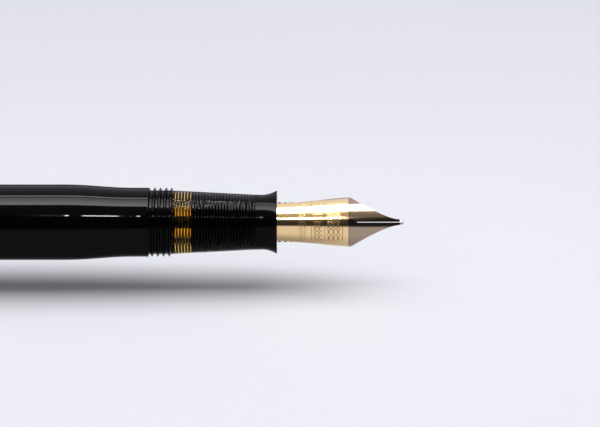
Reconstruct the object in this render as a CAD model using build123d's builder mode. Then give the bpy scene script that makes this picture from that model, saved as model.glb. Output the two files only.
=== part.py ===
from build123d import *
from math import cos, radians, sin
import os

os.makedirs("parts", exist_ok=True)

# A lever-filling fountain pen with its cap posted on the tail. All sizes are in millimetres.
# +X runs along the pen towards the nib and +Z is up. The origin is on the pen's axis, at the
# shoulder behind the cap thread, where the barrel's plain land ends.

# ---------------------------------------------------------------- driving dimensions

# Clearances: pieces pressed or glued together, pieces that slip together, pivots that turn
seat_gap = 0.02
slip_gap = 0.05
pivot_gap = 0.04

# The nib, feed, lever and pressure bar share one "up", rolled from +Z towards -Y
nib_roll = 70.0

# Barrel, from its threaded nose to its tail
barrel_len = 82.0
thread_len = 3.6
thread_pitch = 0.855
thread_root_r = 4.8
thread_crest_r = 5.16
thread_base_share = 0.43
thread_crest_share = 0.14
thread_round = 0.07
thread_sink = 0.1
land_r = 5.19
land_len = 2.4
ogee_len = 10.0
body_r = 5.68
taper_start_x = -24.0
tail_r = 4.25
tail_dome_len = 5.0
barrel_bore_r = 4.3
bore_end_r = 3.3
bore_end_wall = 9.0

# Grip section: amber core, black rings and black lip
section_len = 15.6
section_back_r = 4.80
section_neck_r = 4.12
section_rim_r = 4.74
flare_len = 2.5
rim_edge = 0.12
lip_len = 3.25
lip_spigot_r = 3.5
lip_spigot_len = 1.5
ring_pitch = 0.456
ring_width = 0.16
ring_depth = 0.5
ring_recess = 0.04
ring_first = 0.27
tenon_len = 8.0
nipple_clearance = 1.55
nipple_wall = 0.95
nipple_len = 6.0
chamber_step = 0.35
feed_seat_len = 12.9
feed_bore_r = 3.0

# Nib: how far the shoulders and the tip grow in radius, and half the angle the sheet wraps
nib_wall = 0.35
nib_seated_len = 9.1
nib_len = 19.0
nib_wrap = 72.0
shoulder_wrap = 77.0
tine_wrap = 58.0
tip_wrap = 32.0
shoulder_growth = 0.80
tine_growth = 0.92
tip_growth = 1.02
tine_droop = 0.38
tine_share = 0.53
shoulder_dist = 11.1
shoulder_half_width = 3.65
slit_width = 0.1
breather_r = 0.45
tip_half_width = 0.3
tip_droop = 0.9
pellet_r = 0.38
pellet_len = 0.6

# Feed
comb_pitch = 0.9
comb_fin = 0.45
comb_fins = 7
comb_top = 0.3
feed_rod_r = 0.95
feed_rod_len = 11.8
feed_nose_r = 1.9
feed_nose_dist = 12.0
ink_channel_width = 0.6
ink_channel_depth = 0.7

# Sac, pressure bar and its spring
sac_wall = 0.4
sac_len = 50.0
bar_width_share = 0.44
bar_wall = 0.35
bar_len = 49.0
bar_sac_gap = 0.2
bar_hinge_x = -62.0
spring_half_width = 1.1
spring_wall = 0.2
spring_top_len = 2.5
spring_lap = 5.6
rivet_r = 0.4
rivet_head_r = 0.7
rivet_head = 0.2

# Lever
pivot_x = -31.4
pivot_up = 4.7
lever_pin_r = 0.35
lever_half_width = 1.05
lever_back_len = 21.8
lever_proud = 0.15
lever_arm_len = 3.8
lever_arm_end_r = 0.4
lever_end_wall = 0.6
lever_eye_wall = 0.3
slot_side_gap = 0.15
slot_end_gap = 0.6

# Cap, posted so that it covers post_depth of the tail
post_depth = 22.0
cap_shell_len = 52.0
crown_len = 6.0
crown_spigot_len = 2.8
cap_lip_r = 6.02
cap_belly_r = 6.25
cap_end_r = 5.9
cap_thread_minor_r = 4.88
cap_thread_major_r = 5.25
lip_bore_r = 5.35
cap_bore_r = 5.05
inner_cap_wall = 0.8
inner_cap_end_wall = 1.2
inner_cap_len = 22.5
band_dist = 2.4
band_width = 3.2
band_depth = 0.35
band_proud = 0.12

# Clip
clip_slot_dist = 47.2
clip_wall = 0.7
clip_root_width = 3.0
clip_tip_width = 2.2
clip_bend_r = 1.3
clip_slot_gap = 0.12
clip_foot_len = 1.3
foot_gap = 0.1
ball_r = 1.75
ball_dist = 13.0
plate_wall = 0.4
plate_half_width = 1.95
plate_front = 2.5
plate_back = 1.6
plate_depth = 0.45

# ---------------------------------------------------------------- what follows from them

face_x = thread_len
rim_x = face_x + section_len
tail_x = face_x - barrel_len
lip_x = rim_x - lip_len
feed_seat_x = rim_x - feed_seat_len
tenon_x = face_x - tenon_len
nipple_x = tenon_x - nipple_len
tip_x = rim_x + nib_len
shoulder_x = rim_x + shoulder_dist

# The sac's nipple, the ink chamber and the pressure bar follow the barrel's bore
nipple_r = barrel_bore_r - nipple_clearance
nipple_bore_r = nipple_r - nipple_wall
chamber_r = nipple_r - chamber_step
bar_half_width = bar_width_share * barrel_bore_r

# Half widths of a thread ridge at its foot and its crest
ridge_foot = thread_base_share * thread_pitch
ridge_crest = thread_crest_share * thread_pitch

# The tail's taper brings the barrel to the cap thread's bore where the posted cap stops
post_x = tail_x + post_depth
post_seat_x = post_x - land_len
post_seat_r = cap_thread_minor_r - 0.03
taper = (body_r - post_seat_r) / (taper_start_x - post_seat_x)
dome_x = tail_x + tail_dome_len

# "Up" for the nib and the lever, and the direction across the pen from it
up = Vector(0, -sin(radians(nib_roll)), cos(radians(nib_roll)))
across = Vector(1, 0, 0).cross(up)
side_view = Plane(origin=(0, 0, 0), x_dir=(1, 0, 0), z_dir=across)
top_view = Plane(origin=(0, 0, 0), x_dir=(1, 0, 0), z_dir=up)


def end_view(x):
    """The plane across the pen at x, whose local Y is "up"."""
    return Plane(origin=(x, 0, 0), x_dir=across * -1, z_dir=(1, 0, 0))


def barrel_outer_r(x):
    """Radius of the barrel's tapered part at x."""
    return body_r - taper * (taper_start_x - x)


def section_outer_r(x):
    """Radius of the section's straight cone at x, before the flare."""
    share = (x - face_x) / (section_len - flare_len)
    return section_back_r + (section_neck_r - section_back_r) * share


# ---------------------------------------------------------------- barrel

# Barrel: turned tube with a threaded nose, a plain land, a shallow ogee and a tapered tail
with BuildPart() as barrel:
    with BuildSketch(Plane.XY):
        with BuildLine():
            Polyline(
                (tail_x, 0),
                (face_x, 0),
                (face_x, thread_root_r),
                (0, thread_root_r),
                (0, land_r),
                (-land_len, land_r),
            )
            Spline(
                (-land_len, land_r),
                (-land_len - ogee_len, body_r),
                tangents=((-1, 0), (-1, 0)),
            )
            Polyline(
                (-land_len - ogee_len, body_r),
                (taper_start_x, body_r),
                (post_seat_x, post_seat_r),
                (dome_x, tail_r),
            )
            Spline((dome_x, tail_r), (tail_x, 0), tangents=((-1, -0.06), (0, -1)))
        make_face()
    revolve(axis=Axis.X)
    # The cap thread runs out into the land at the back and is cut off flush in front
    with BuildLine(mode=Mode.PRIVATE) as barrel_helix:
        Helix(
            pitch=thread_pitch,
            height=thread_len + thread_pitch,
            radius=thread_root_r,
            center=(-thread_pitch / 2, 0, 0),
            direction=(1, 0, 0),
        )
    thread_start = Plane(
        origin=barrel_helix.line @ 0, x_dir=(1, 0, 0), z_dir=barrel_helix.line % 0
    )
    ridge = thread_crest_r - thread_root_r
    with BuildSketch(thread_start):
        with BuildLine():
            Polyline(
                (-ridge_crest, ridge - thread_round),
                (-ridge_foot, -thread_sink),
                (ridge_foot, -thread_sink),
                (ridge_crest, ridge - thread_round),
            )
            ThreePointArc(
                (ridge_crest, ridge - thread_round), (0, ridge), (-ridge_crest, ridge - thread_round)
            )
        make_face()
    sweep(path=barrel_helix.line, is_frenet=True)
    with BuildSketch(Plane.YZ.offset(face_x)):
        Circle(body_r)
    extrude(amount=2 * thread_pitch, mode=Mode.SUBTRACT)
    # Bore for the section's tenon and the sac, narrowing towards the closed tail
    with BuildSketch(Plane.XY):
        with BuildLine():
            Polyline(
                (face_x, 0),
                (face_x, barrel_bore_r),
                (bar_hinge_x - 2, barrel_bore_r),
                (tail_x + bore_end_wall, bore_end_r),
                (tail_x + bore_end_wall, 0),
                close=True,
            )
        make_face()
    revolve(axis=Axis.X, mode=Mode.SUBTRACT)
    # Slot for the lever
    slot_front_x = pivot_x + lever_arm_len + lever_arm_end_r + slot_end_gap
    slot_back_x = pivot_x - lever_back_len - slot_end_gap
    with BuildSketch(top_view.offset(barrel_bore_r - 1.0)):
        with Locations(((slot_front_x + slot_back_x) / 2, 0)):
            SlotOverall(
                slot_front_x - slot_back_x, 2 * (lever_half_width + slot_side_gap)
            )
    extrude(amount=body_r, mode=Mode.SUBTRACT)
    # Hole across the slot for the lever's pin
    with BuildSketch(side_view):
        with Locations((pivot_x, pivot_up)):
            Circle(lever_pin_r)
    extrude(amount=body_r, both=True, mode=Mode.SUBTRACT)

barrel.part.label = "barrel"
export_step(barrel.part, "parts/barrel.step")

# ---------------------------------------------------------------- grip section

# The section's outside: a cone that flares into a sharp rim
with BuildPart() as section_form:
    neck_x = rim_x - flare_len
    with BuildSketch(Plane.XY):
        with BuildLine():
            Line((face_x, 0), (face_x, section_back_r))
            Line((face_x, section_back_r), (neck_x, section_neck_r))
            TangentArc(
                (neck_x, section_neck_r),
                (rim_x - rim_edge, section_rim_r),
                tangent=(neck_x - face_x, section_neck_r - section_back_r),
            )
            Polyline(
                (rim_x - rim_edge, section_rim_r),
                (rim_x, section_rim_r),
                (rim_x, 0),
                (face_x, 0),
            )
        make_face()
    revolve(axis=Axis.X)

# Rings: as many as fit between the barrel and the black lip
ring_count = int((lip_x - face_x - ring_first) / ring_pitch) + 1
ring_places = [face_x + ring_first + ring_pitch * i for i in range(ring_count)]

# Ring blanks stand from the grooves' floor to above the section's surface
with BuildPart() as ring_blanks:
    for ring_x in ring_places:
        with BuildSketch(Plane.YZ.offset(ring_x - ring_width / 2)):
            Circle(section_back_r + 1)
            Circle(section_outer_r(ring_x) - ring_depth, mode=Mode.SUBTRACT)
        extrude(amount=ring_width)

# Black rings, turned a little below the amber between them
with BuildPart() as section_rings:
    with BuildSketch(Plane.XY):
        with BuildLine():
            Polyline(
                (face_x, 0),
                (face_x, section_back_r - ring_recess),
                (rim_x - flare_len, section_neck_r - ring_recess),
                (rim_x - flare_len, 0),
                close=True,
            )
        make_face()
    revolve(axis=Axis.X)
    add(ring_blanks.part, mode=Mode.INTERSECT)

section_rings.part.label = "section_rings"
export_step(section_rings.part, "parts/section_rings.step")

# Amber core: ringed grip, tenon in the barrel, nipple for the sac, spigot for the lip
with BuildPart() as grip_section:
    add(section_form.part)
    with BuildSketch(Plane.YZ.offset(lip_x)):
        Circle(section_rim_r + 1)
        Circle(lip_spigot_r, mode=Mode.SUBTRACT)
    extrude(amount=lip_len, mode=Mode.SUBTRACT)
    with BuildSketch(Plane.YZ.offset(lip_x + lip_spigot_len)):
        Circle(section_rim_r + 1)
    extrude(amount=lip_len, mode=Mode.SUBTRACT)
    add(ring_blanks.part, mode=Mode.SUBTRACT)
    with BuildSketch(Plane.YZ.offset(tenon_x)):
        Circle(barrel_bore_r - seat_gap)
    extrude(amount=tenon_len)
    with BuildSketch(Plane.YZ.offset(nipple_x)):
        Circle(nipple_r)
    extrude(amount=nipple_len)
    with BuildSketch(Plane.YZ.offset(nipple_x)):
        Circle(nipple_bore_r)
    extrude(amount=nipple_len, mode=Mode.SUBTRACT)
    with BuildSketch(Plane.YZ.offset(tenon_x)):
        Circle(chamber_r)
    extrude(amount=feed_seat_x - tenon_x, mode=Mode.SUBTRACT)
    with BuildSketch(Plane.YZ.offset(feed_seat_x)):
        Circle(feed_bore_r)
    extrude(amount=feed_seat_len, mode=Mode.SUBTRACT)

grip_section.part.label = "grip_section"
export_step(grip_section.part, "parts/grip_section.step")

# Black lip: the flared front of the section, socketed over the amber spigot
with BuildPart() as section_lip:
    add(section_form.part)
    with BuildSketch(Plane.YZ.offset(lip_x)):
        Circle(section_rim_r + 1)
    extrude(amount=-section_len, mode=Mode.SUBTRACT)
    with BuildSketch(Plane.YZ.offset(lip_x)):
        Circle(lip_spigot_r)
    extrude(amount=lip_spigot_len, mode=Mode.SUBTRACT)
    with BuildSketch(Plane.YZ.offset(lip_x)):
        Circle(feed_bore_r)
    extrude(amount=lip_len, mode=Mode.SUBTRACT)

section_lip.part.label = "section_lip"
export_step(section_lip.part, "parts/section_lip.step")

# ---------------------------------------------------------------- nib

nib_r = feed_bore_r - seat_gap
weld_x = tip_x - pellet_len
# Stations of the open part: place, outer radius, height of the crest, half the angle it wraps
nib_stations = [
    (rim_x, nib_r, nib_r, nib_wrap),
    (rim_x + 0.43 * shoulder_dist, nib_r + 0.35 * shoulder_growth, nib_r, (nib_wrap + shoulder_wrap) / 2),
    (shoulder_x, nib_r + shoulder_growth, nib_r - 0.05, shoulder_wrap),
    (shoulder_x + tine_share * (tip_x - shoulder_x), nib_r + tine_growth, nib_r - tine_droop, tine_wrap),
    (tip_x - tip_half_width, nib_r + tip_growth, nib_r - tip_droop, tip_wrap),
]


def nib_section(outer_r, crest, wrap):
    """The sheet's outline across the pen: outer arc, inner arc and two radial edges."""
    centre = (0, crest - outer_r)
    outer_arc = CenterArc(centre, outer_r, 90 - wrap, 2 * wrap)
    inner_arc = CenterArc(centre, outer_r - nib_wall, 90 - wrap, 2 * wrap)
    Line(outer_arc @ 0, inner_arc @ 0)
    Line(outer_arc @ 1, inner_arc @ 1)


# Nib: one rolled sheet, cut to its shoulders and tines, pierced and slit
with BuildPart() as nib:
    for station_x, outer_r, crest, wrap in nib_stations:
        with BuildSketch(end_view(station_x)):
            with BuildLine():
                nib_section(outer_r, crest, wrap)
            make_face()
    loft()
    with BuildSketch(end_view(rim_x)):
        with BuildLine():
            nib_section(nib_r, nib_r, nib_wrap)
        make_face()
    extrude(amount=-nib_seated_len)
    # Waste outside the tapered tines, one side drawn and mirrored
    with BuildSketch(top_view):
        with BuildLine():
            Spline(
                (shoulder_x, shoulder_half_width),
                (shoulder_x + 0.46 * (tip_x - shoulder_x), 0.45 * shoulder_half_width),
                (shoulder_x + 0.76 * (tip_x - shoulder_x), 0.18 * shoulder_half_width),
                (tip_x, tip_half_width),
            )
            Polyline(
                (tip_x, tip_half_width),
                (tip_x, 2 * shoulder_half_width),
                (shoulder_x - 0.6, 2 * shoulder_half_width),
                (shoulder_x - 0.6, 1.1 * shoulder_half_width),
                (shoulder_x, shoulder_half_width),
            )
        make_face()
        mirror(about=Plane.XZ)
        with Locations((weld_x, 0)):
            Rectangle(nib_len, 4 * shoulder_half_width, align=(Align.MIN, Align.CENTER))
    extrude(amount=3 * body_r, both=True, mode=Mode.SUBTRACT)
    with BuildSketch(top_view):
        with Locations((shoulder_x, 0)):
            Circle(breather_r)
        with Locations(((shoulder_x + tip_x) / 2, 0)):
            Rectangle(tip_x - shoulder_x, slit_width)
    extrude(amount=body_r, mode=Mode.SUBTRACT)

nib.part.label = "nib"
export_step(nib.part, "parts/nib.step")

# Pellets of hard metal welded to the tip, one on each tine
pellet_up = nib_r - tip_droop - nib_wall / 2
with BuildPart() as nib_tipping:
    with Locations(Vector(tip_x - pellet_r, 0, 0) + up * pellet_up):
        Sphere(pellet_r)
    with BuildSketch(top_view):
        with Locations((weld_x, 0)):
            Rectangle(nib_len, 4 * pellet_r, align=(Align.MAX, Align.CENTER))
            Rectangle(nib_len, slit_width, align=(Align.MIN, Align.CENTER))
    extrude(amount=body_r, mode=Mode.SUBTRACT)

nib_tipping.part.label = "nib_tipping"
export_step(nib_tipping.part, "parts/nib_tipping.step")

# ---------------------------------------------------------------- feed

feed_r = nib_r - nib_wall - seat_gap
nose_x = rim_x + feed_nose_dist
comb_end_x = rim_x + (comb_fins - 0.4) * comb_pitch
feed_back_x = feed_seat_x + seat_gap

# Feed: ebonite rod with a comb of fins below the nib, an ink channel above and a thin tail
with BuildPart() as feed:
    # The wide lower part fills the section's bore and carries the comb in front of it
    with BuildSketch(Plane.YZ.offset(feed_back_x)):
        Circle(nib_r)
    extrude(amount=rim_x - feed_back_x)
    for fin in range(comb_fins):
        fin_x = rim_x + (fin + 0.4) * comb_pitch
        with BuildSketch(Plane.YZ.offset(fin_x - comb_fin / 2)):
            Circle(nib_r)
        extrude(amount=comb_fin)
    with BuildSketch(side_view):
        with Locations((feed_seat_x - 1, comb_top)):
            Rectangle(section_len + nib_len, body_r, align=(Align.MIN, Align.MIN))
    extrude(amount=body_r, both=True, mode=Mode.SUBTRACT)
    with BuildSketch(Plane.XY):
        with BuildLine():
            Polyline(
                (feed_seat_x - feed_rod_len, 0),
                (feed_seat_x - feed_rod_len, feed_rod_r),
                (feed_back_x, feed_rod_r),
                (feed_back_x, feed_r),
                (comb_end_x - 1, feed_r),
                (nose_x, feed_nose_r),
                (nose_x, 0),
                close=True,
            )
        make_face()
    revolve(axis=Axis.X)
    # The nose is pared away from below, and the channel cut along the top
    with BuildSketch(side_view):
        with BuildLine():
            Polyline(
                (comb_end_x - 1, -feed_r - 1),
                (comb_end_x - 1, -feed_r),
                (nose_x + 1, 0.35 * feed_nose_r),
                (nose_x + 1, -feed_r - 1),
                close=True,
            )
        make_face()
    extrude(amount=body_r, both=True, mode=Mode.SUBTRACT)
    with BuildSketch(side_view):
        with Locations((feed_back_x, feed_r - ink_channel_depth)):
            Rectangle(section_len + nib_len, body_r, align=(Align.MIN, Align.MIN))
    extrude(amount=ink_channel_width / 2, both=True, mode=Mode.SUBTRACT)

feed.part.label = "feed"
export_step(feed.part, "parts/feed.step")

# ---------------------------------------------------------------- sac and pressure bar

sac_in_r = nipple_r + slip_gap
sac_out_r = sac_in_r + sac_wall
sac_mouth_x = tenon_x - seat_gap
sac_end_x = sac_mouth_x - sac_len
sac_dome_x = sac_end_x + sac_out_r

# Ink sac: latex tube with a round closed end, pushed over the section's nipple
with BuildPart() as ink_sac:
    with BuildSketch(Plane.XY):
        with BuildLine():
            Polyline(
                (sac_dome_x, sac_in_r),
                (sac_mouth_x, sac_in_r),
                (sac_mouth_x, sac_out_r),
                (sac_dome_x, sac_out_r),
            )
            CenterArc((sac_dome_x, 0), sac_out_r, 90, 90)
            Line((sac_end_x, 0), (sac_end_x + sac_wall, 0))
            CenterArc((sac_dome_x, 0), sac_in_r, 90, 90)
        make_face()
    revolve(axis=Axis.X)

ink_sac.part.label = "ink_sac"
export_step(ink_sac.part, "parts/ink_sac.step")

bar_up = sac_out_r + bar_sac_gap
bar_back_x = bar_hinge_x + 1
rivet_places = [(bar_back_x + 2.2, 0), (bar_back_x + 3.9, 0)]

# Pressure bar: flat steel strip with round ends along the sac
with BuildPart() as pressure_bar:
    with BuildSketch(top_view.offset(bar_up)):
        with Locations((bar_back_x + bar_len / 2, 0)):
            SlotOverall(bar_len, 2 * bar_half_width)
        with Locations(*rivet_places):
            Circle(rivet_r, mode=Mode.SUBTRACT)
    extrude(amount=bar_wall)

pressure_bar.part.label = "pressure_bar"
export_step(pressure_bar.part, "parts/pressure_bar.step")

# J spring: its short upper leg lies along the bore's wall, its lower leg holds the bar
lower_up = bar_up - spring_wall
upper_up = bar_up + bar_wall + slip_gap
bend_up = (lower_up + upper_up + spring_wall) / 2
bend_out_r = bend_up - lower_up
with BuildPart() as bar_spring:
    with BuildSketch(side_view):
        with BuildLine():
            CenterArc((bar_hinge_x, bend_up), bend_out_r, 90, 180)
            Polyline(
                (bar_hinge_x, lower_up),
                (bar_hinge_x + spring_lap, lower_up),
                (bar_hinge_x + spring_lap, bar_up),
                (bar_hinge_x, bar_up),
            )
            CenterArc((bar_hinge_x, bend_up), bend_out_r - spring_wall, 90, 180)
            Polyline(
                (bar_hinge_x, upper_up),
                (bar_hinge_x + spring_top_len, upper_up),
                (bar_hinge_x + spring_top_len, upper_up + spring_wall),
                (bar_hinge_x, upper_up + spring_wall),
            )
        make_face()
    extrude(amount=spring_half_width, both=True)
    with BuildSketch(top_view.offset(lower_up)):
        with Locations(*rivet_places):
            Circle(rivet_r)
    extrude(amount=spring_wall, mode=Mode.SUBTRACT)

bar_spring.part.label = "bar_spring"
export_step(bar_spring.part, "parts/bar_spring.step")

# Rivets: flush with the bar above, headed under the spring
with BuildPart() as bar_rivets:
    with BuildSketch(top_view.offset(lower_up)):
        with Locations(*rivet_places):
            Circle(rivet_r - seat_gap)
    extrude(amount=spring_wall + bar_wall)
    with BuildSketch(top_view.offset(lower_up)):
        with Locations(*rivet_places):
            Circle(rivet_head_r)
    extrude(amount=-rivet_head)

bar_rivets.part.label = "bar_rivets"
export_step(bar_rivets.part, "parts/bar_rivets.step")

# ---------------------------------------------------------------- lever

lever_back_x = pivot_x - lever_back_len
arm_x = pivot_x + lever_arm_len
lever_front_x = arm_x + lever_arm_end_r
lever_shoulder_x = pivot_x + 1.0

# Lever: long arm flush in the slot, short arm that presses the bar
with BuildPart() as lever:
    with BuildSketch(side_view):
        with BuildLine():
            Polyline(
                (arm_x, pivot_up - lever_arm_end_r),
                (pivot_x, pivot_up - lever_pin_r - lever_eye_wall),
                (lever_back_x, barrel_outer_r(lever_back_x) + lever_proud - lever_end_wall),
                (lever_back_x, barrel_outer_r(lever_back_x) + lever_proud),
                (lever_shoulder_x, barrel_outer_r(lever_shoulder_x) + lever_proud),
                (arm_x, pivot_up + lever_arm_end_r),
            )
            CenterArc((arm_x, pivot_up), lever_arm_end_r, -90, 180)
        make_face()
        with Locations((pivot_x, pivot_up)):
            Circle(lever_pin_r + pivot_gap, mode=Mode.SUBTRACT)
    extrude(amount=lever_half_width, both=True)
    # Both ends are rounded in plan, as the slot's are
    with BuildSketch(top_view):
        with Locations(((lever_back_x + lever_front_x) / 2, 0)):
            SlotOverall(lever_front_x - lever_back_x, 2 * lever_half_width)
    extrude(amount=2 * body_r, mode=Mode.INTERSECT)

lever.part.label = "lever"
export_step(lever.part, "parts/lever.step")

# Lever pin: pressed through the barrel's wall and filed flush with it
with BuildPart() as lever_pin:
    with BuildSketch(side_view):
        with Locations((pivot_x, pivot_up)):
            Circle(lever_pin_r)
    extrude(amount=body_r, both=True)
    with BuildSketch(Plane.XY):
        with BuildLine():
            Polyline(
                (taper_start_x, 0),
                (taper_start_x, body_r),
                (post_seat_x, post_seat_r),
                (post_seat_x, 0),
                close=True,
            )
        make_face()
    revolve(axis=Axis.X, mode=Mode.INTERSECT)

lever_pin.part.label = "lever_pin"
export_step(lever_pin.part, "parts/lever_pin.step")

# ---------------------------------------------------------------- cap

shell_end_x = post_x - cap_shell_len
crown_x = shell_end_x - crown_len
belly_x = post_x - 0.38 * cap_shell_len
thread_back_x = post_seat_x - thread_len
inner_mouth_x = thread_back_x - section_len
band_x = post_x - band_dist
slot_x = post_x - clip_slot_dist
slot_width = clip_root_width + 2 * clip_slot_gap
slot_len = clip_wall + 2 * clip_slot_gap

# The cap's outside, with a shallow belly between the mouth and the crown
with BuildPart() as cap_form:
    with BuildSketch(Plane.XY):
        with BuildLine():
            Polyline((shell_end_x, cap_end_r), (shell_end_x, 0), (post_x, 0), (post_x, cap_lip_r))
            Spline((post_x, cap_lip_r), (belly_x, cap_belly_r), (shell_end_x, cap_end_r))
        make_face()
    revolve(axis=Axis.X)

# Cap shell: turned tube with a female thread, a seat for the band and a slot for the clip
with BuildPart() as cap_shell:
    add(cap_form.part)
    with BuildSketch(Plane.YZ.offset(post_seat_x)):
        Circle(cap_thread_major_r)
    extrude(amount=-thread_len, mode=Mode.SUBTRACT)
    with BuildLine(mode=Mode.PRIVATE) as cap_helix:
        Helix(
            pitch=thread_pitch,
            height=thread_len + thread_pitch,
            radius=cap_thread_major_r,
            center=(thread_back_x - thread_pitch / 2, 0, 0),
            direction=(1, 0, 0),
        )
    cap_thread_start = Plane(
        origin=cap_helix.line @ 0, x_dir=(1, 0, 0), z_dir=cap_helix.line % 0
    )
    cap_ridge = cap_thread_major_r - cap_thread_minor_r
    with BuildSketch(cap_thread_start):
        with BuildLine():
            Polyline(
                (ridge_crest, thread_round - cap_ridge),
                (ridge_foot, thread_sink),
                (-ridge_foot, thread_sink),
                (-ridge_crest, thread_round - cap_ridge),
            )
            ThreePointArc(
                (ridge_crest, thread_round - cap_ridge),
                (0, -cap_ridge),
                (-ridge_crest, thread_round - cap_ridge),
            )
        make_face()
    sweep(path=cap_helix.line, is_frenet=True)
    with BuildSketch(Plane.YZ.offset(post_seat_x)):
        Circle(lip_bore_r)
    extrude(amount=2 * land_len, mode=Mode.SUBTRACT)
    with BuildSketch(Plane.YZ.offset(thread_back_x)):
        Circle(cap_bore_r)
    extrude(amount=-cap_shell_len, mode=Mode.SUBTRACT)
    with BuildSketch(Plane.YZ.offset(band_x)):
        Circle(2 * body_r)
        Circle(cap_lip_r - band_depth, mode=Mode.SUBTRACT)
    extrude(amount=-band_width, mode=Mode.SUBTRACT)
    with BuildSketch(Plane.XY):
        with Locations((slot_x, 0)):
            Rectangle(slot_len, slot_width)
    extrude(amount=-2 * body_r, mode=Mode.SUBTRACT)

cap_shell.part.label = "cap_shell"
export_step(cap_shell.part, "parts/cap_shell.step")

# Band: gold ring rolled into the shell's groove
with BuildPart() as cap_band:
    with BuildSketch(Plane.YZ.offset(band_x)):
        Circle(cap_lip_r + band_proud)
        Circle(cap_lip_r - band_depth, mode=Mode.SUBTRACT)
    extrude(amount=-band_width)

cap_band.part.label = "cap_band"
export_step(cap_band.part, "parts/cap_band.step")

# Crown: domed plug with a spigot in the end of the shell
with BuildPart() as cap_crown:
    with BuildSketch(Plane.XY):
        with BuildLine():
            Polyline(
                (crown_x, 0),
                (shell_end_x + crown_spigot_len, 0),
                (shell_end_x + crown_spigot_len, cap_bore_r - seat_gap),
                (shell_end_x, cap_bore_r - seat_gap),
                (shell_end_x, cap_end_r),
            )
            Spline((shell_end_x, cap_end_r), (crown_x, 0), tangents=((-1, -0.1), (0, -1)))
        make_face()
    revolve(axis=Axis.X)

cap_crown.part.label = "cap_crown"
export_step(cap_crown.part, "parts/cap_crown.step")

# Inner cap: closed liner whose mouth seals on the section's rim when the pen is capped
with BuildPart() as inner_cap:
    with BuildSketch(Plane.YZ.offset(inner_mouth_x)):
        Circle(cap_bore_r - slip_gap)
    extrude(amount=-inner_cap_len)
    with BuildSketch(Plane.YZ.offset(inner_mouth_x)):
        Circle(cap_bore_r - slip_gap - inner_cap_wall)
    extrude(amount=inner_cap_end_wall - inner_cap_len, mode=Mode.SUBTRACT)

inner_cap.part.label = "inner_cap"
export_step(inner_cap.part, "parts/inner_cap.step")

# ---------------------------------------------------------------- clip

ball_x = post_x - ball_dist
ball_low = cap_belly_r + slip_gap + ball_r
plate_low = cap_bore_r - plate_depth - plate_wall
foot_low = plate_low - foot_gap - clip_wall / 2
# Seen from the side, with the distance below the axis as local Y
low_view = Plane(origin=(0, 0, 0), x_dir=(1, 0, 0), z_dir=(0, 1, 0))

# Clip: a spring strip from a foot inside the cap, out through the slot and along to the ball
with BuildPart() as clip:
    with BuildSketch(low_view):
        with BuildLine():
            FilletPolyline(
                (slot_x + clip_foot_len, foot_low),
                (slot_x, foot_low),
                (slot_x, ball_low),
                (ball_x, ball_low),
                radius=[0.7 * clip_wall, clip_bend_r],
            )
        trace(line_width=clip_wall)
    extrude(amount=clip_root_width / 2, both=True)
    with BuildSketch(Plane.XY):
        with BuildLine():
            Polyline(
                (slot_x - 2 * clip_wall, -clip_root_width / 2),
                (slot_x + 2 * clip_wall, -clip_root_width / 2),
                (ball_x + 1, -clip_tip_width / 2),
                (ball_x + 1, clip_tip_width / 2),
                (slot_x + 2 * clip_wall, clip_root_width / 2),
                (slot_x - 2 * clip_wall, clip_root_width / 2),
                close=True,
            )
        make_face()
    extrude(amount=-3 * body_r, mode=Mode.INTERSECT)

clip.part.label = "clip"
export_step(clip.part, "parts/clip.step")

# Ball: soldered over the end of the strip, resting on the cap
with BuildPart() as clip_ball:
    with Locations((ball_x, 0, -ball_low)):
        Sphere(ball_r)
    add(clip.part, mode=Mode.SUBTRACT)

clip_ball.part.label = "clip_ball"
export_step(clip_ball.part, "parts/clip_ball.step")

# Backing plate: strip inside the cap behind the slot, which the clip's foot bears on
with BuildPart() as clip_backing_plate:
    with BuildSketch(Plane.XY.offset(-plate_low)):
        with Locations((slot_x + (plate_front - plate_back) / 2, 0)):
            Rectangle(plate_front + plate_back, 2 * plate_half_width)
        with Locations((slot_x, 0)):
            Rectangle(slot_len, slot_width, mode=Mode.SUBTRACT)
    extrude(amount=-plate_wall)

clip_backing_plate.part.label = "clip_backing_plate"
export_step(clip_backing_plate.part, "parts/clip_backing_plate.step")
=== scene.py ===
from math import asin, atan2, cos, degrees, hypot, pi, radians, sin, sqrt, tan

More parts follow.
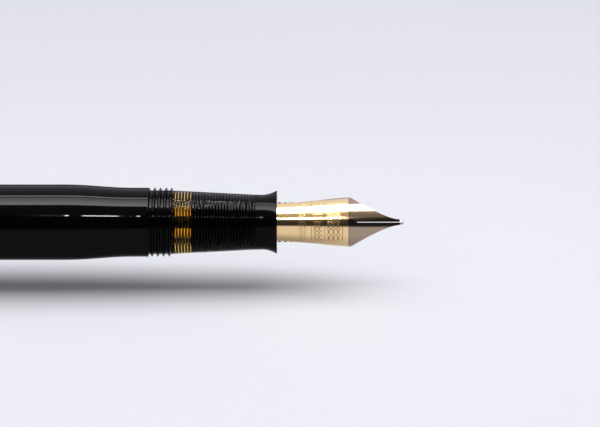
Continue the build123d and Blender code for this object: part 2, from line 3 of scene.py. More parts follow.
import bmesh
import bpy
import numpy as np
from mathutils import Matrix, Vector


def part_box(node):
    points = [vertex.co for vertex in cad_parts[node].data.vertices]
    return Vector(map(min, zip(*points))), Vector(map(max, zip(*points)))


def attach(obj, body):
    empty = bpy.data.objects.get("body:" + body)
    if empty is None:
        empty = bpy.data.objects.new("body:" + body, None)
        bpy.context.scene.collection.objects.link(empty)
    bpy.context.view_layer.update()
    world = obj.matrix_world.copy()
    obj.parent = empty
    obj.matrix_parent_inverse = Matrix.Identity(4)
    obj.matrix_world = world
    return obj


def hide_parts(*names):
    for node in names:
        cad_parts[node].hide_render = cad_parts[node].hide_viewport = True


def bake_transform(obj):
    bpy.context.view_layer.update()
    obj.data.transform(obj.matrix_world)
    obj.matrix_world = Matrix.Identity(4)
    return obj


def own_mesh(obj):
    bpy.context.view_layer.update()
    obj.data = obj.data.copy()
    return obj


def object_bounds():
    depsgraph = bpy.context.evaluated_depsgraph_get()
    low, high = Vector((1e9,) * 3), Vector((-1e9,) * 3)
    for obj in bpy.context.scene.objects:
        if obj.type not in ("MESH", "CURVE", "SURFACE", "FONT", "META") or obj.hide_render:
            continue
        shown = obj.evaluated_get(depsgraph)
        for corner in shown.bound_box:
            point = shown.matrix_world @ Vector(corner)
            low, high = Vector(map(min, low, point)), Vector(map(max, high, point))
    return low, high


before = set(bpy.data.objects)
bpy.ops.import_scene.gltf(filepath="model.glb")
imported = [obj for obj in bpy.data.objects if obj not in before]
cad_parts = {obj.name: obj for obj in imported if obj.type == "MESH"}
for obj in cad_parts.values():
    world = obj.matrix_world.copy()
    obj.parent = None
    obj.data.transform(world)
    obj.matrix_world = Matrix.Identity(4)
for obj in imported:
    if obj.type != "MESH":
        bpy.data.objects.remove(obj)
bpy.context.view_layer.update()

# ============================================================ camera, floor and lights
# A table-top shot: one long lens square to the pen and a little above it, a pale sweep under it,
# one soft box overhead, and cards and two small lamps that the polished pieces mirror.

MM = 0.001


def linear(hex_colour):
    """A colour written as sRGB hex, as the linear values that shaders take."""
    parts = [int(hex_colour[i:i + 2], 16) / 255 for i in (0, 2, 4)]
    return [c / 12.92 if c <= 0.04045 else ((c + 0.055) / 1.055) ** 2.4 for c in parts] + [1.0]


def add(tree, kind, inputs=None, **settings):
    """Adds one node. Settings are its properties. Inputs are values, sockets to link from, or
    nodes, whose first output in use is linked."""
    made = tree.nodes.new(kind)
    for name, value in settings.items():
        setattr(made, name, value)
    for key, value in (inputs or {}).items():
        if isinstance(value, bpy.types.Node):
            value = next(socket for socket in value.outputs if socket.enabled)
        if isinstance(value, bpy.types.NodeSocket):
            tree.links.new(value, made.inputs[key])
        else:
            made.inputs[key].default_value = value
    return made


def new_material(name):
    """A node material with nothing but its Object coordinates: the material, tree and socket."""
    made = bpy.data.materials.new(name)
    made.use_nodes = True
    made.node_tree.nodes.clear()
    return made, made.node_tree, add(made.node_tree, "ShaderNodeTexCoord").outputs["Object"]


def new_object(name, mesh, *materials):
    """Puts a mesh in the scene at the origin with its materials."""
    made = bpy.data.objects.new(name, mesh)
    mesh.name = name
    for item in materials:
        mesh.materials.append(item)
    bpy.context.scene.collection.objects.link(made)
    return made


scene = bpy.context.scene
scene.view_settings.view_transform = "Standard"

camera_rise = radians(20)
camera_distance = 700 * MM
image_width = 600
sensor_width = 36.0
pen_scale = 0.15 * MM
aim = Vector((22.65 * MM, 0, 0)) + 1.3 * MM * Vector((0, sin(camera_rise), cos(camera_rise)))
camera_data = bpy.data.cameras.new("table_camera")
camera_data.sensor_width = sensor_width
camera_data.lens = sensor_width * camera_distance / (image_width * pen_scale)
camera_data.clip_start = 0.01
camera = bpy.data.objects.new("table_camera", camera_data)
camera.location = aim + camera_distance * Vector((0, -cos(camera_rise), sin(camera_rise)))
camera.rotation_euler = (pi / 2 - camera_rise, 0, 0)
scene.collection.objects.link(camera)
scene.camera = camera

# Floor: matt paper sweep, faintly blotched, with painted shade that greys it towards the back, away from the
# lamp
paper, tree, here = new_material("matt_paper_sweep")
place = add(tree, "ShaderNodeSeparateXYZ", {"Vector": here})
blotches = add(tree, "ShaderNodeTexNoise", {"Vector": here, "Scale": 14.0, "Detail": 3.0})
# Painted shade: the paper's colour darkens towards the back, standing in for the lamp's falloff
painted_falloff = add(tree, "ShaderNodeMapRange", {"Value": place.outputs["Y"], "From Min": -0.10, "From Max": 0.10})
falloff_and_blotches = add(tree, "ShaderNodeMix", {"Factor": 0.2, "A": painted_falloff, "B": blotches}, data_type="FLOAT")
tint = add(tree, "ShaderNodeMix", {"Factor": falloff_and_blotches, "A": linear("F7F8FC"),
           "B": linear("E0E1E8")}, data_type="RGBA")
surface = add(tree, "ShaderNodeBsdfDiffuse", {"Color": tint})
add(tree, "ShaderNodeOutputMaterial", {"Surface": surface})

floor_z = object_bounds()[0][2]
floor_half = 3.0
floor_mesh = bpy.data.meshes.new("floor_sweep")
corners = [(x * floor_half, y * floor_half, floor_z) for x, y in ((-1, -1), (1, -1), (1, 1), (-1, 1))]
floor_mesh.from_pydata(corners, [], [(0, 1, 2, 3)])
floor = new_object("floor_sweep", floor_mesh, paper)


def soft_light(name, place, size, power, colour, diffuse, glossy):
    """An area lamp that faces the pen's middle, lighting matt surfaces, mirrored ones, or both."""
    data = bpy.data.lights.new(name, "AREA")
    data.shape = "RECTANGLE"
    data.size, data.size_y = size
    data.energy = power
    data.color = linear(colour)[:3]
    lamp = bpy.data.objects.new(name, data)
    lamp.location = place
    facing = Vector((0.0, 0.0, 0.0)) - Vector((0, place[1], place[2]))
    lamp.rotation_euler = facing.to_track_quat("-Z", "Y").to_euler()
    lamp.visible_camera = False
    lamp.visible_diffuse = diffuse
    lamp.visible_transmission = diffuse
    lamp.visible_glossy = glossy
    scene.collection.objects.link(lamp)


soft_light("overhead_softbox", (0.02, 0.05, 0.32), (0.60, 0.36), 1.28, "FFFFFF", True, False)


def mirrored_card(name, low_deg, high_deg, reach, half_length, low_glow, high_glow, colour):
    """A long bowed card round the pen that only mirrored surfaces see. Its angles are measured from
    level on the near side, and its glow runs from one edge to the other."""
    steps = 24
    verts, faces, glow = [], [], []
    for i in range(steps + 1):
        turn = radians(low_deg + (high_deg - low_deg) * i / steps)
        for end in (-1, 1):
            verts.append((end * half_length, -reach * cos(turn), reach * sin(turn)))
            glow.append(low_glow + (high_glow - low_glow) * i / steps)
    for i in range(steps):
        a = 2 * i
        faces.append((a, a + 1, a + 3, a + 2))
    mesh = bpy.data.meshes.new(name)
    mesh.from_pydata(verts, [], faces)
    glow_data = mesh.attributes.new("glow", "FLOAT", "POINT")
    glow_data.data.foreach_set("value", glow)
    material, tree = new_material(name + "_light")[:2]
    level = add(tree, "ShaderNodeAttribute", attribute_name="glow")
    shine = add(tree, "ShaderNodeEmission", {"Color": linear(colour), "Strength": level.outputs["Fac"]})
    add(tree, "ShaderNodeOutputMaterial", {"Surface": shine})
    card = new_object(name, mesh, material)
    card.visible_camera = False
    card.visible_diffuse = False
    card.visible_transmission = False
    card.visible_shadow = False


mirrored_card("softbox_near_half", 73.7, 102.5, 0.30, 0.5, 26.0, 6.5, "FFFBFA")
mirrored_card("wall_above_camera", 41.0, 73.4, 0.31, 0.5, 0.30, 0.62, "FFF4E6")
mirrored_card("softbox_far_rim", 104.5, 108.5, 0.30, 0.5, 20.0, 20.0, "F4F6FF")
mirrored_card("ceiling_behind", 109.5, 168.0, 0.31, 0.5, 1.3, 0.9, "F2F2FF")
soft_light("barrel_lamp", (-0.0243, -0.306, 0.257), (0.011, 0.020), 0.13, "FFFFFF", False, True)
soft_light("nib_lamp", (0.027, -0.306, 0.257), (0.020, 0.022), 0.20, "FFFFFF", False, True)

# The room: pale to the camera, dim to matt surfaces, almost dark to polished ones
world = bpy.data.worlds.new("studio_room")
scene.world = world
world.use_nodes = True
tree = world.node_tree
tree.nodes.clear()
ray = add(tree, "ShaderNodeLightPath")
direct = add(tree, "ShaderNodeMath", {0: ray.outputs["Is Camera Ray"], 1: ray.outputs["Is Transmission Ray"]},
             operation="MAXIMUM")
seen = add(tree, "ShaderNodeMath", {0: direct, 1: 0.80}, operation="MULTIPLY")
filled = add(tree, "ShaderNodeMath", {0: ray.outputs["Is Diffuse Ray"], 1: 0.36, 2: seen},
             operation="MULTIPLY_ADD")
room = add(tree, "ShaderNodeMath", {0: filled, 1: 0.035}, operation="ADD")
sky = add(tree, "ShaderNodeBackground", {"Color": linear("F2F1F8"), "Strength": room})
add(tree, "ShaderNodeOutputWorld", {"Surface": sky})

# ============================================================ barrel
# A tube of black hard rubber, turned and polished to a deep gloss. It necks down to a plain land
# behind the cap thread, tapers to a domed tail, and is slotted for the lever.

thread_len = 3.6
thread_pitch = 0.855
thread_root_r = 4.8
thread_crest_r = 5.16
land_r = 5.19
land_len = 2.4
ogee_len = 10.0
body_r = 5.68
taper_start_x = -24.0
post_x = -56.4
post_seat_x = post_x - land_len
post_seat_r = 4.85
barrel_bore_r = 4.3
face_x = thread_len
tail_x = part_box("barrel")[0][0] / MM
dome_x = tail_x + 5.0
tail_r = 4.25

nib_roll = radians(70)
up = Vector((0, -sin(nib_roll), cos(nib_roll)))
across = Vector((1, 0, 0)).cross(up)

round_sides = 288


def arc_points(centre, radius, start, end, steps):
    """Points of an arc in the (x, r) profile, angles in degrees."""
    angles = [radians(start + (end - start) * i / steps) for i in range(steps + 1)]
    return [(centre[0] + radius * cos(a), centre[1] + radius * sin(a)) for a in angles]


def softened(corners, steps=5):
    """A closed profile whose corners, given as (x, r, rounding), are broken by small arcs."""
    out = []
    count = len(corners)
    for i, corner in enumerate(corners):
        rounding = corner[2]
        here = Vector(corner[:2])
        before = Vector(corners[i - 1][:2]) - here
        after = Vector(corners[(i + 1) % count][:2]) - here
        if not rounding or before.length < 1e-9 or after.length < 1e-9:
            out.append(tuple(here))
            continue
        half = before.angle(after) / 2
        back = min(rounding / tan(half), 0.45 * before.length, 0.45 * after.length)
        radius = back * tan(half)
        middle = here + (before.normalized() + after.normalized()).normalized() * radius / sin(half)
        first = here + before.normalized() * back - middle
        last = here + after.normalized() * back - middle
        swing = atan2(first.x * last.y - first.y * last.x, first.dot(last))
        base = atan2(first.y, first.x)
        for k in range(steps + 1):
            angle = base + swing * k / steps
            out.append((middle.x + radius * cos(angle), middle.y + radius * sin(angle)))
    return out


def turned(profile, sides=round_sides, low=0.0):
    """A closed (x, r) profile turned about the pen's axis, or about a line that far below it."""
    made = bmesh.new()
    rings = []
    for x, r in profile:
        if r < 1e-6:
            rings.append([made.verts.new((x * MM, 0, -low * MM))])
            continue
        ring = []
        for k in range(sides):
            angle = 2 * pi * k / sides
            ring.append(made.verts.new((x * MM, r * cos(angle) * MM, (r * sin(angle) - low) * MM)))
        rings.append(ring)
    for a, b in zip(rings, rings[1:] + rings[:1]):
        for k in range(sides):
            m = (k + 1) % sides
            if len(a) > 1 and len(b) > 1:
                made.faces.new((a[k], a[m], b[m], b[k]))
            elif len(a) > 1:
                made.faces.new((a[k], a[m], b[0]))
            elif len(b) > 1:
                made.faces.new((a[0], b[m], b[k]))
    return finished(made)


def finished(made, sharp_deg=32.0):
    """Closes a bmesh into a mesh: normals outward, smooth, with its hard edges marked."""
    bmesh.ops.remove_doubles(made, verts=made.verts, dist=1e-9)
    bmesh.ops.recalc_face_normals(made, faces=made.faces)
    for face in made.faces:
        face.smooth = True
    for edge in made.edges:
        if len(edge.link_faces) == 2 and edge.calc_face_angle(0.0) > radians(sharp_deg):
            edge.smooth = False
    mesh = bpy.data.meshes.new("piece")
    made.to_mesh(mesh)
    made.free()
    return mesh


def eased_value(t, start, end, start_rate=0.0, end_rate=0.0):
    """A smooth value that share of the way from start to end, with its rate of change at each."""
    return ((2 * t**3 - 3 * t**2 + 1) * start + (t**3 - 2 * t**2 + t) * start_rate
            + (3 * t**2 - 2 * t**3) * end + (t**3 - t**2) * end_rate)


def finish_piece(name, mesh, material, body, slot_name, *nodes):
    """Puts a finished piece in the scene on its body, in place of its CAD nodes. Its slot name is not used.
    """
    piece = new_object(name, mesh, material)
    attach(piece, body)
    if nodes:
        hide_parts(*nodes)
    return piece


def cut_out(mesh, *cutters):
    """The mesh with other closed meshes cut from it."""
    piece = bpy.data.objects.new("being_cut", mesh)
    scene.collection.objects.link(piece)
    tools = []
    for cutter in cutters:
        tool = bpy.data.objects.new("cutter", cutter)
        scene.collection.objects.link(tool)
        tools.append(tool)
        step = piece.modifiers.new("cut", "BOOLEAN")
        step.object = tool
        step.operation = "DIFFERENCE"
        step.solver = "EXACT"
    bpy.context.view_layer.update()
    result = bpy.data.meshes.new_from_object(piece.evaluated_get(bpy.context.evaluated_depsgraph_get()))
    for item in [piece] + tools:
        bpy.data.objects.remove(item)
    made = bmesh.new()
    made.from_mesh(result)
    return finished(made)


def keep_turned_normals(mesh, outer_r, outer_slope):
    """Gives the outside of a cut turned piece the normals it had before it was cut."""
    normals = []
    for poly in mesh.polygons:
        for index in poly.vertices:
            co = mesh.vertices[index].co
            radius = hypot(co.y, co.z)
            x = co.x / MM
            true = Vector((-outer_slope(x), co.y / radius, co.z / radius)) if radius > 1e-9 else poly.normal
            true = true.normalized()
            on_surface = abs(radius / MM - outer_r(x)) < 0.004
            normals.append(true if on_surface and poly.normal.dot(true) > 0.98 else None)
    corner = [item.vector.copy() for item in mesh.corner_normals]
    mesh.normals_split_custom_set([n if n is not None else c for n, c in zip(normals, corner)])


def pen_point(x, side, height):
    """A point from its places along the pen, across the nib and along "up"."""
    return Vector((x, 0, 0)) + across * side + up * height


def skinned(loops):
    """A closed skin over loops of points that have the same count, flat at both ends."""
    made = bmesh.new()
    rings = [[made.verts.new(Vector(point) * MM) for point in loop] for loop in loops]
    for a, b in zip(rings, rings[1:]):
        for k in range(len(a)):
            m = (k + 1) % len(a)
            made.faces.new((a[k], a[m], b[m], b[k]))
    made.faces.new(rings[0][::-1])
    made.faces.new(rings[-1])
    return finished(made)


def plan_prism(outline, low, high):
    """A prism with its outline in the (x, across) plane, between two heights along "up"."""
    return skinned([[pen_point(x, side, height) for x, side in outline] for height in (low, high)])


def slot_outline(front_x, back_x, half_width, steps=16):
    """A long slot with round ends, in plan."""
    front = [(front_x - half_width + half_width * sin(radians(a)), -half_width * cos(radians(a)))
             for a in np.linspace(0, 180, steps)]
    back = [(back_x + half_width - half_width * sin(radians(a)), half_width * cos(radians(a)))
            for a in np.linspace(0, 180, steps)]
    return front + back


def barrel_outline():
    """The barrel's outside from its nose to its tail, without the thread."""
    edge = 0.12
    ogee = [(-land_len - ogee_len * t, eased_value(t, land_r, body_r)) for t in np.linspace(0, 1, 41)]
    tail = [(tail_x + (dome_x - tail_x) * (1 - sin(t)), tail_r * cos(t)) for t in np.linspace(0, pi / 2, 24)]
    return [(0, thread_root_r)] + arc_points((-edge, land_r - edge), edge, 0, 90, 5) + ogee + [
        (taper_start_x, body_r), (post_seat_x, post_seat_r), (dome_x, tail_r)] + tail[1:]


outside = barrel_outline()
outside_x = [p[0] for p in outside][::-1]
outside_r = [p[1] for p in outside][::-1]


def barrel_r(x):
    return float(np.interp(x, outside_x, outside_r))


def barrel_slope(x):
    return (barrel_r(x + 0.05) - barrel_r(x - 0.05)) / 0.1


# Polished black hard rubber: near-black, a clear gloss, hairline marks from wiping along the pen
black_gloss, tree, here = new_material("polished_black_hard_rubber")
along = add(tree, "ShaderNodeMapping", {"Vector": here, "Scale": (60, 900, 900)})
wiping = add(tree, "ShaderNodeTexNoise", {"Vector": along, "Scale": 3.0, "Detail": 6.0})
smears = add(tree, "ShaderNodeTexNoise", {"Vector": here, "Scale": 260.0, "Detail": 4.0})
gloss = add(tree, "ShaderNodeMapRange", {"Value": smears, "From Min": 0.35, "From Max": 0.75,
            "To Min": 0.035, "To Max": 0.075})
marks = add(tree, "ShaderNodeBump", {"Height": wiping, "Strength": 0.012, "Distance": 0.00002})
surface = add(tree, "ShaderNodeBsdfPrincipled", {"Base Color": linear("040405"), "IOR": 1.5,
              "Specular IOR Level": 0.07, "Roughness": gloss, "Normal": marks})
add(tree, "ShaderNodeOutputMaterial", {"Surface": surface})

bore_back_x = tail_x + 9.0
tail_bore_r, bore_step_x = 3.3, -64.0
thread_foot = 0.06
barrel_profile = outside + [
    (bore_back_x, 0), (bore_back_x, tail_bore_r), (bore_step_x, barrel_bore_r), (face_x - 0.1, barrel_bore_r),
    (face_x, barrel_bore_r + 0.1), (face_x, thread_root_r - thread_foot),
    (face_x - thread_foot, thread_root_r)]
pivot_x, pivot_up = -31.4, 4.7
slot_half_width = 1.2
slot_front_x, slot_back_x = -26.6, -53.8
slot_floor, clear_of_barrel = 3.3, 9.0
slot_plan = slot_outline(slot_front_x, slot_back_x, slot_half_width)
slot_cutter = plan_prism(slot_plan, slot_floor, clear_of_barrel)
barrel_mesh = cut_out(turned(barrel_profile), slot_cutter)
keep_turned_normals(barrel_mesh, barrel_r, barrel_slope)
finish_piece("barrel_shell", barrel_mesh, black_gloss, "pen", "black_barrel", "barrel")


def new_tree(name, sockets):
    """An empty geometry tree with named inputs: the tree, the inputs' sockets, the output node."""
    tree = bpy.data.node_groups.new(name, "GeometryNodeTree")
    tree.interface.new_socket("Geometry", in_out="OUTPUT", socket_type="NodeSocketGeometry")
    for label, kind in sockets:
        tree.interface.new_socket(label, in_out="INPUT", socket_type="NodeSocket" + kind)
    return tree, add(tree, "NodeGroupInput").outputs, add(tree, "NodeGroupOutput")


def grown(tree, values):
    """Runs a geometry tree with its inputs set by name, and returns the result as a plain mesh."""
    holder = bpy.data.objects.new("growing", bpy.data.meshes.new("growing"))
    scene.collection.objects.link(holder)
    step = holder.modifiers.new("grow", "NODES")
    step.node_group = tree
    for item in tree.interface.items_tree:
        if item.in_out == "INPUT" and item.name in values:
            step[item.identifier] = values[item.name]
    bpy.context.view_layer.update()
    mesh = bpy.data.meshes.new_from_object(holder.evaluated_get(bpy.context.evaluated_depsgraph_get()))
    bpy.data.objects.remove(holder)
    made = bmesh.new()
    made.from_mesh(mesh)
    return finished(made, 40.0)


# Screw ridge: one trapezoid section swept round a helix that thins out at both ends
ridge_tree, given, out = new_tree("screw_ridge", [
    ("Start", "Float"), ("Pitch", "Float"), ("Turns", "Float"), ("Root Radius", "Float"), ("Height", "Float"),
    ("Base Width", "Float"), ("Crest Width", "Float"), ("Section Turn", "Rotation"), ("Run Out", "Float"),
    ("Material", "Material")])
helix_len = add(ridge_tree, "ShaderNodeMath", {0: given["Pitch"], 1: given["Turns"]},
                operation="MULTIPLY")
helix = add(ridge_tree, "GeometryNodeCurveSpiral", {"Resolution": 144, "Rotations": given["Turns"],
            "Start Radius": given["Root Radius"], "End Radius": given["Root Radius"],
            "Height": helix_len})
placed = add(ridge_tree, "GeometryNodeSetCurveNormal", {"Curve": helix}, mode="Z_UP")
share = add(ridge_tree, "GeometryNodeSplineParameter")
from_end = add(ridge_tree, "ShaderNodeMath", {0: 1.0, 1: share.outputs["Factor"]}, operation="SUBTRACT")
nearer = add(ridge_tree, "ShaderNodeMath", {0: share.outputs["Factor"], 1: from_end},
             operation="MINIMUM")
swell = add(ridge_tree, "ShaderNodeMapRange", {"Value": nearer, "From Max": given["Run Out"], "To Min": 0.15},
            interpolation_type="SMOOTHSTEP")
section = add(ridge_tree, "GeometryNodeCurvePrimitiveQuadrilateral", {
    "Height": given["Height"], "Bottom Width": given["Base Width"],
    "Top Width": given["Crest Width"], "Offset": 0.0}, mode="TRAPEZOID")
turned_out = add(ridge_tree, "GeometryNodeTransform", {"Geometry": section,
                 "Rotation": given["Section Turn"]})
eased = add(ridge_tree, "GeometryNodeFilletCurve", {"Curve": turned_out, "Radius": 0.05 * MM,
            "Count": 3}, mode="POLY")
swept = add(ridge_tree, "GeometryNodeCurveToMesh", {"Curve": placed,
            "Profile Curve": eased, "Scale": swell, "Fill Caps": True})
start_at = add(ridge_tree, "ShaderNodeCombineXYZ", {"X": given["Start"]})
laid = add(ridge_tree, "GeometryNodeTransform", {"Geometry": swept,
           "Translation": start_at, "Rotation": (0.0, pi / 2, 0.0)})
real = add(ridge_tree, "GeometryNodeRealizeInstances", {"Geometry": laid})
coated = add(ridge_tree, "GeometryNodeSetMaterial", {"Geometry": real,
             "Material": given["Material"]})
ridge_tree.links.new(coated.outputs["Geometry"], out.inputs["Geometry"])

thread_height = thread_crest_r - thread_root_r
thread_sink = 0.06
ridge_values = {"Start": -thread_pitch / 2 * MM, "Pitch": thread_pitch * MM, "Turns": 5.4,
                "Root Radius": (thread_root_r + (thread_height - thread_sink) / 2) * MM,
                "Height": (thread_height + thread_sink) * MM, "Base Width": 0.66 * MM,
                "Crest Width": 0.16 * MM, "Section Turn": (0.0, 0.0, pi / 2), "Run Out": 0.05,
                "Material": black_gloss}
thread_mesh = grown(ridge_tree, ridge_values)
thread_mesh.materials.clear()
flush = bmesh.new()
flush.from_mesh(thread_mesh)
bmesh.ops.bisect_plane(flush, geom=flush.verts[:] + flush.edges[:] + flush.faces[:], clear_outer=True,
                       plane_co=((face_x - 0.01) * MM, 0, 0), plane_no=(1, 0, 0))
bmesh.ops.holes_fill(flush, edges=[edge for edge in flush.edges if edge.is_boundary])
thread_mesh = finished(flush, 40.0)
finish_piece("barrel_thread", thread_mesh, black_gloss, "pen", "black_barrel")

# ============================================================ grip section
# Clear amber celluloid, turned with a fine comb of grooves, bored through and polished inside so
# that the ink shows. Its tenon is glued in the barrel and its nipple carries the sac.

rim_x = face_x + 15.6
neck_x = rim_x - 2.5
section_back_r, section_neck_r, section_rim_r = 4.80, 4.12, 4.74
lip_x = rim_x - 3.25
ring_first, ring_pitch, ring_width = 0.27, 0.456, 0.16
ring_count = 27
groove_depth, groove_floor, groove_mouth = 0.055, 0.082, 0.105
tenon_r, nipple_r, nipple_bore_r = 4.27, 2.75, 1.8
chamber_r = 2.4
spigot_x, spigot_r = lip_x + 1.49, 3.49
feed_seat_x = rim_x - 12.9
feed_bore_r = 3.0
tenon_x, nipple_x = face_x - 8.0, face_x - 14.0


def cone_r(x):
    share = (x - face_x) / (neck_x - face_x)
    return section_back_r + (section_neck_r - section_back_r) * share


# Clear amber celluloid: a tinted clear plastic, faintly wavy from polishing
amber, tree, here = new_material("clear_amber_celluloid")
waves = add(tree, "ShaderNodeTexNoise", {"Vector": here, "Scale": 1 / (0.8 * MM), "Detail": 2.0})
wavy = add(tree, "ShaderNodeBump", {"Height": waves, "Strength": 0.05, "Distance": 0.02 * MM})
depth_tint = add(tree, "ShaderNodeMix", {"Factor": waves, "A": linear("F6CF70"),
                 "B": linear("F2C45E")}, data_type="RGBA")
surface = add(tree, "ShaderNodeBsdfPrincipled", {"Base Color": depth_tint, "IOR": 1.5,
              "Transmission Weight": 1.0, "Roughness": 0.03, "Specular Tint": (0.0, 0.0, 0.0, 1.0),
              "Normal": wavy})
add(tree, "ShaderNodeOutputMaterial", {"Surface": surface})

core = [(nipple_x, nipple_bore_r), (nipple_x, nipple_r - 0.2), (nipple_x + 0.2, nipple_r),
        (tenon_x, nipple_r), (tenon_x, tenon_r - 0.07), (tenon_x + 0.08, tenon_r), (face_x, tenon_r),
        (face_x, section_back_r - 0.05), (face_x + 0.05, section_back_r)]
groove = ((-groove_mouth, 0.0), (-groove_floor, groove_depth),
          (groove_floor, groove_depth), (groove_mouth, 0.0))
for i in range(ring_count):
    middle = face_x + ring_first + ring_pitch * i
    for offset, depth in groove:
        core.append((middle + offset, cone_r(middle + offset) - depth))
core = [point for point in core if point[0] < lip_x] + [
    (lip_x, cone_r(lip_x)), (lip_x, spigot_r), (spigot_x, spigot_r), (spigot_x, feed_bore_r),
    (feed_seat_x, feed_bore_r), (feed_seat_x, chamber_r), (tenon_x + 0.4, chamber_r),
    (tenon_x - 0.2, nipple_bore_r)]
core_mesh = turned(core)

# A film of dried blue-black ink coats the bore that holds the feed
ink_film, tree, here = new_material("dried_ink_film")
dried = add(tree, "ShaderNodeTexNoise", {"Vector": here, "Scale": 1 / (0.5 * MM), "Detail": 4.0})
shade = add(tree, "ShaderNodeMix", {"Factor": dried, "A": linear("07070C"), "B": linear("12111A")},
            data_type="RGBA")
surface = add(tree, "ShaderNodeBsdfDiffuse", {"Color": shade})
add(tree, "ShaderNodeOutputMaterial", {"Surface": surface})
finish_piece("amber_core", core_mesh, amber, "pen", "amber_plastic", "grip_section")
core_mesh.materials.append(ink_film)

# The same amber with a full inner reflection, for the clear bore behind the window
bore_amber = amber.copy()
bore_amber.name = "clear_amber_polished_bore"
full_gloss = bore_amber.node_tree.nodes["Principled BSDF"].inputs["Specular Tint"]
full_gloss.default_value = (1.0, 1.0, 1.0, 1.0)
core_mesh.materials.append(bore_amber)
for face in core_mesh.polygons:
    out_at = hypot(face.center.y, face.center.z) / MM
    along = face.center.x / MM
    if along > feed_seat_x - 0.01 and out_at < feed_bore_r + 0.01:
        face.material_index = 1
    elif along > tenon_x + 0.5 and out_at < chamber_r + 0.01:
        face.material_index = 2

# ============================================================ section rings
# Thin black celluloid rings set in the grooves and turned just below the amber between them.

# Black celluloid: deep black and glossy, with a little pebbling left by the turning tool
black_ring, tree, here = new_material("black_celluloid")
pebble = add(tree, "ShaderNodeTexNoise", {"Vector": here, "Scale": 1 / (0.25 * MM), "Detail": 3.0})
gloss = add(tree, "ShaderNodeMapRange", {"Value": pebble, "From Min": 0.3, "From Max": 0.7,
            "To Min": 0.07, "To Max": 0.14})
wavy = add(tree, "ShaderNodeBump", {"Height": pebble, "Strength": 0.02, "Distance": 0.005 * MM})
surface = add(tree, "ShaderNodeBsdfPrincipled", {"Base Color": linear("050506"), "IOR": 1.5,
              "Specular IOR Level": 0.06, "Roughness": gloss, "Normal": wavy})
add(tree, "ShaderNodeOutputMaterial", {"Surface": surface})

# Row of bands: whole rings, or arcs of them, spaced along the axis and shrinking evenly
band_tree, given, out = new_tree("row_of_bands", [
    ("Count", "Int"), ("First", "Float"), ("Pitch", "Float"), ("Outer Radius", "Float"),
    ("End Scale", "Float"), ("Depth", "Float"), ("Width", "Float"), ("Rounding", "Float"),
    ("Whole", "Bool"), ("Arc Start", "Float"), ("Arc Sweep", "Float"), ("Material", "Material")])
half_depth = add(band_tree, "ShaderNodeMath", {0: given["Depth"], 1: -0.5, 2: given["Outer Radius"]},
                 operation="MULTIPLY_ADD")
whole = add(band_tree, "GeometryNodeCurvePrimitiveCircle", {"Resolution": 160, "Radius": half_depth})
part = add(band_tree, "GeometryNodeCurveArc", {"Resolution": 128, "Radius": half_depth,
           "Start Angle": given["Arc Start"], "Sweep Angle": given["Arc Sweep"]})
line = add(band_tree, "GeometryNodeSwitch", {"Switch": given["Whole"], "False": part,
           "True": whole}, input_type="GEOMETRY")
upright = add(band_tree, "GeometryNodeSetCurveNormal", {"Curve": line}, mode="Z_UP")
section = add(band_tree, "GeometryNodeCurvePrimitiveQuadrilateral", {
    "Width": given["Depth"], "Height": given["Width"]}, mode="RECTANGLE")
eased = add(band_tree, "GeometryNodeFilletCurve", {"Curve": section,
            "Radius": given["Rounding"], "Count": 3}, mode="POLY")
open_ended = add(band_tree, "FunctionNodeBooleanMath", {0: given["Whole"]}, operation="NOT")
swept = add(band_tree, "GeometryNodeCurveToMesh", {"Curve": upright,
            "Profile Curve": eased, "Fill Caps": open_ended})
stood = add(band_tree, "GeometryNodeTransform", {"Geometry": swept, "Rotation": (0.0, pi / 2, 0.0)})
start_at = add(band_tree, "ShaderNodeCombineXYZ", {"X": given["First"]})
step_by = add(band_tree, "ShaderNodeCombineXYZ", {"X": given["Pitch"]})
row = add(band_tree, "GeometryNodeMeshLine", {"Count": given["Count"],
          "Start Location": start_at, "Offset": step_by}, mode="OFFSET")
place = add(band_tree, "GeometryNodeInputIndex")
last = add(band_tree, "ShaderNodeMath", {0: given["Count"], 1: 1.0}, operation="SUBTRACT")
size = add(band_tree, "ShaderNodeMapRange", {"Value": place.outputs["Index"], "From Max": last,
           "To Min": 1.0, "To Max": given["End Scale"]})
scale = add(band_tree, "ShaderNodeCombineXYZ", {"X": 1.0, "Y": size, "Z": size})
copies = add(band_tree, "GeometryNodeInstanceOnPoints", {"Points": row,
             "Instance": stood, "Scale": scale})
real = add(band_tree, "GeometryNodeRealizeInstances", {"Geometry": copies})
coated = add(band_tree, "GeometryNodeSetMaterial", {"Geometry": real,
             "Material": given["Material"]})
band_tree.links.new(coated.outputs["Geometry"], out.inputs["Geometry"])

first_ring = face_x + ring_first
last_ring = first_ring + ring_pitch * (ring_count - 1)
ring_sink = 0.04
ring_r = cone_r(first_ring) - ring_sink
rings = grown(band_tree, {
    "Count": ring_count, "First": first_ring * MM, "Pitch": ring_pitch * MM, "Outer Radius": ring_r * MM,
    "End Scale": (cone_r(last_ring) - ring_sink) / ring_r, "Depth": 0.46 * MM, "Width": ring_width * MM,
    "Rounding": 0.03 * MM, "Whole": True, "Material": black_ring})
finish_piece("black_rings", rings, black_ring, "pen", "black_rings", "section_rings")

# ============================================================ section lip
# The flared black front of the grip, turned from the same celluloid as the rings, polished, and
# glued over a spigot on the amber.

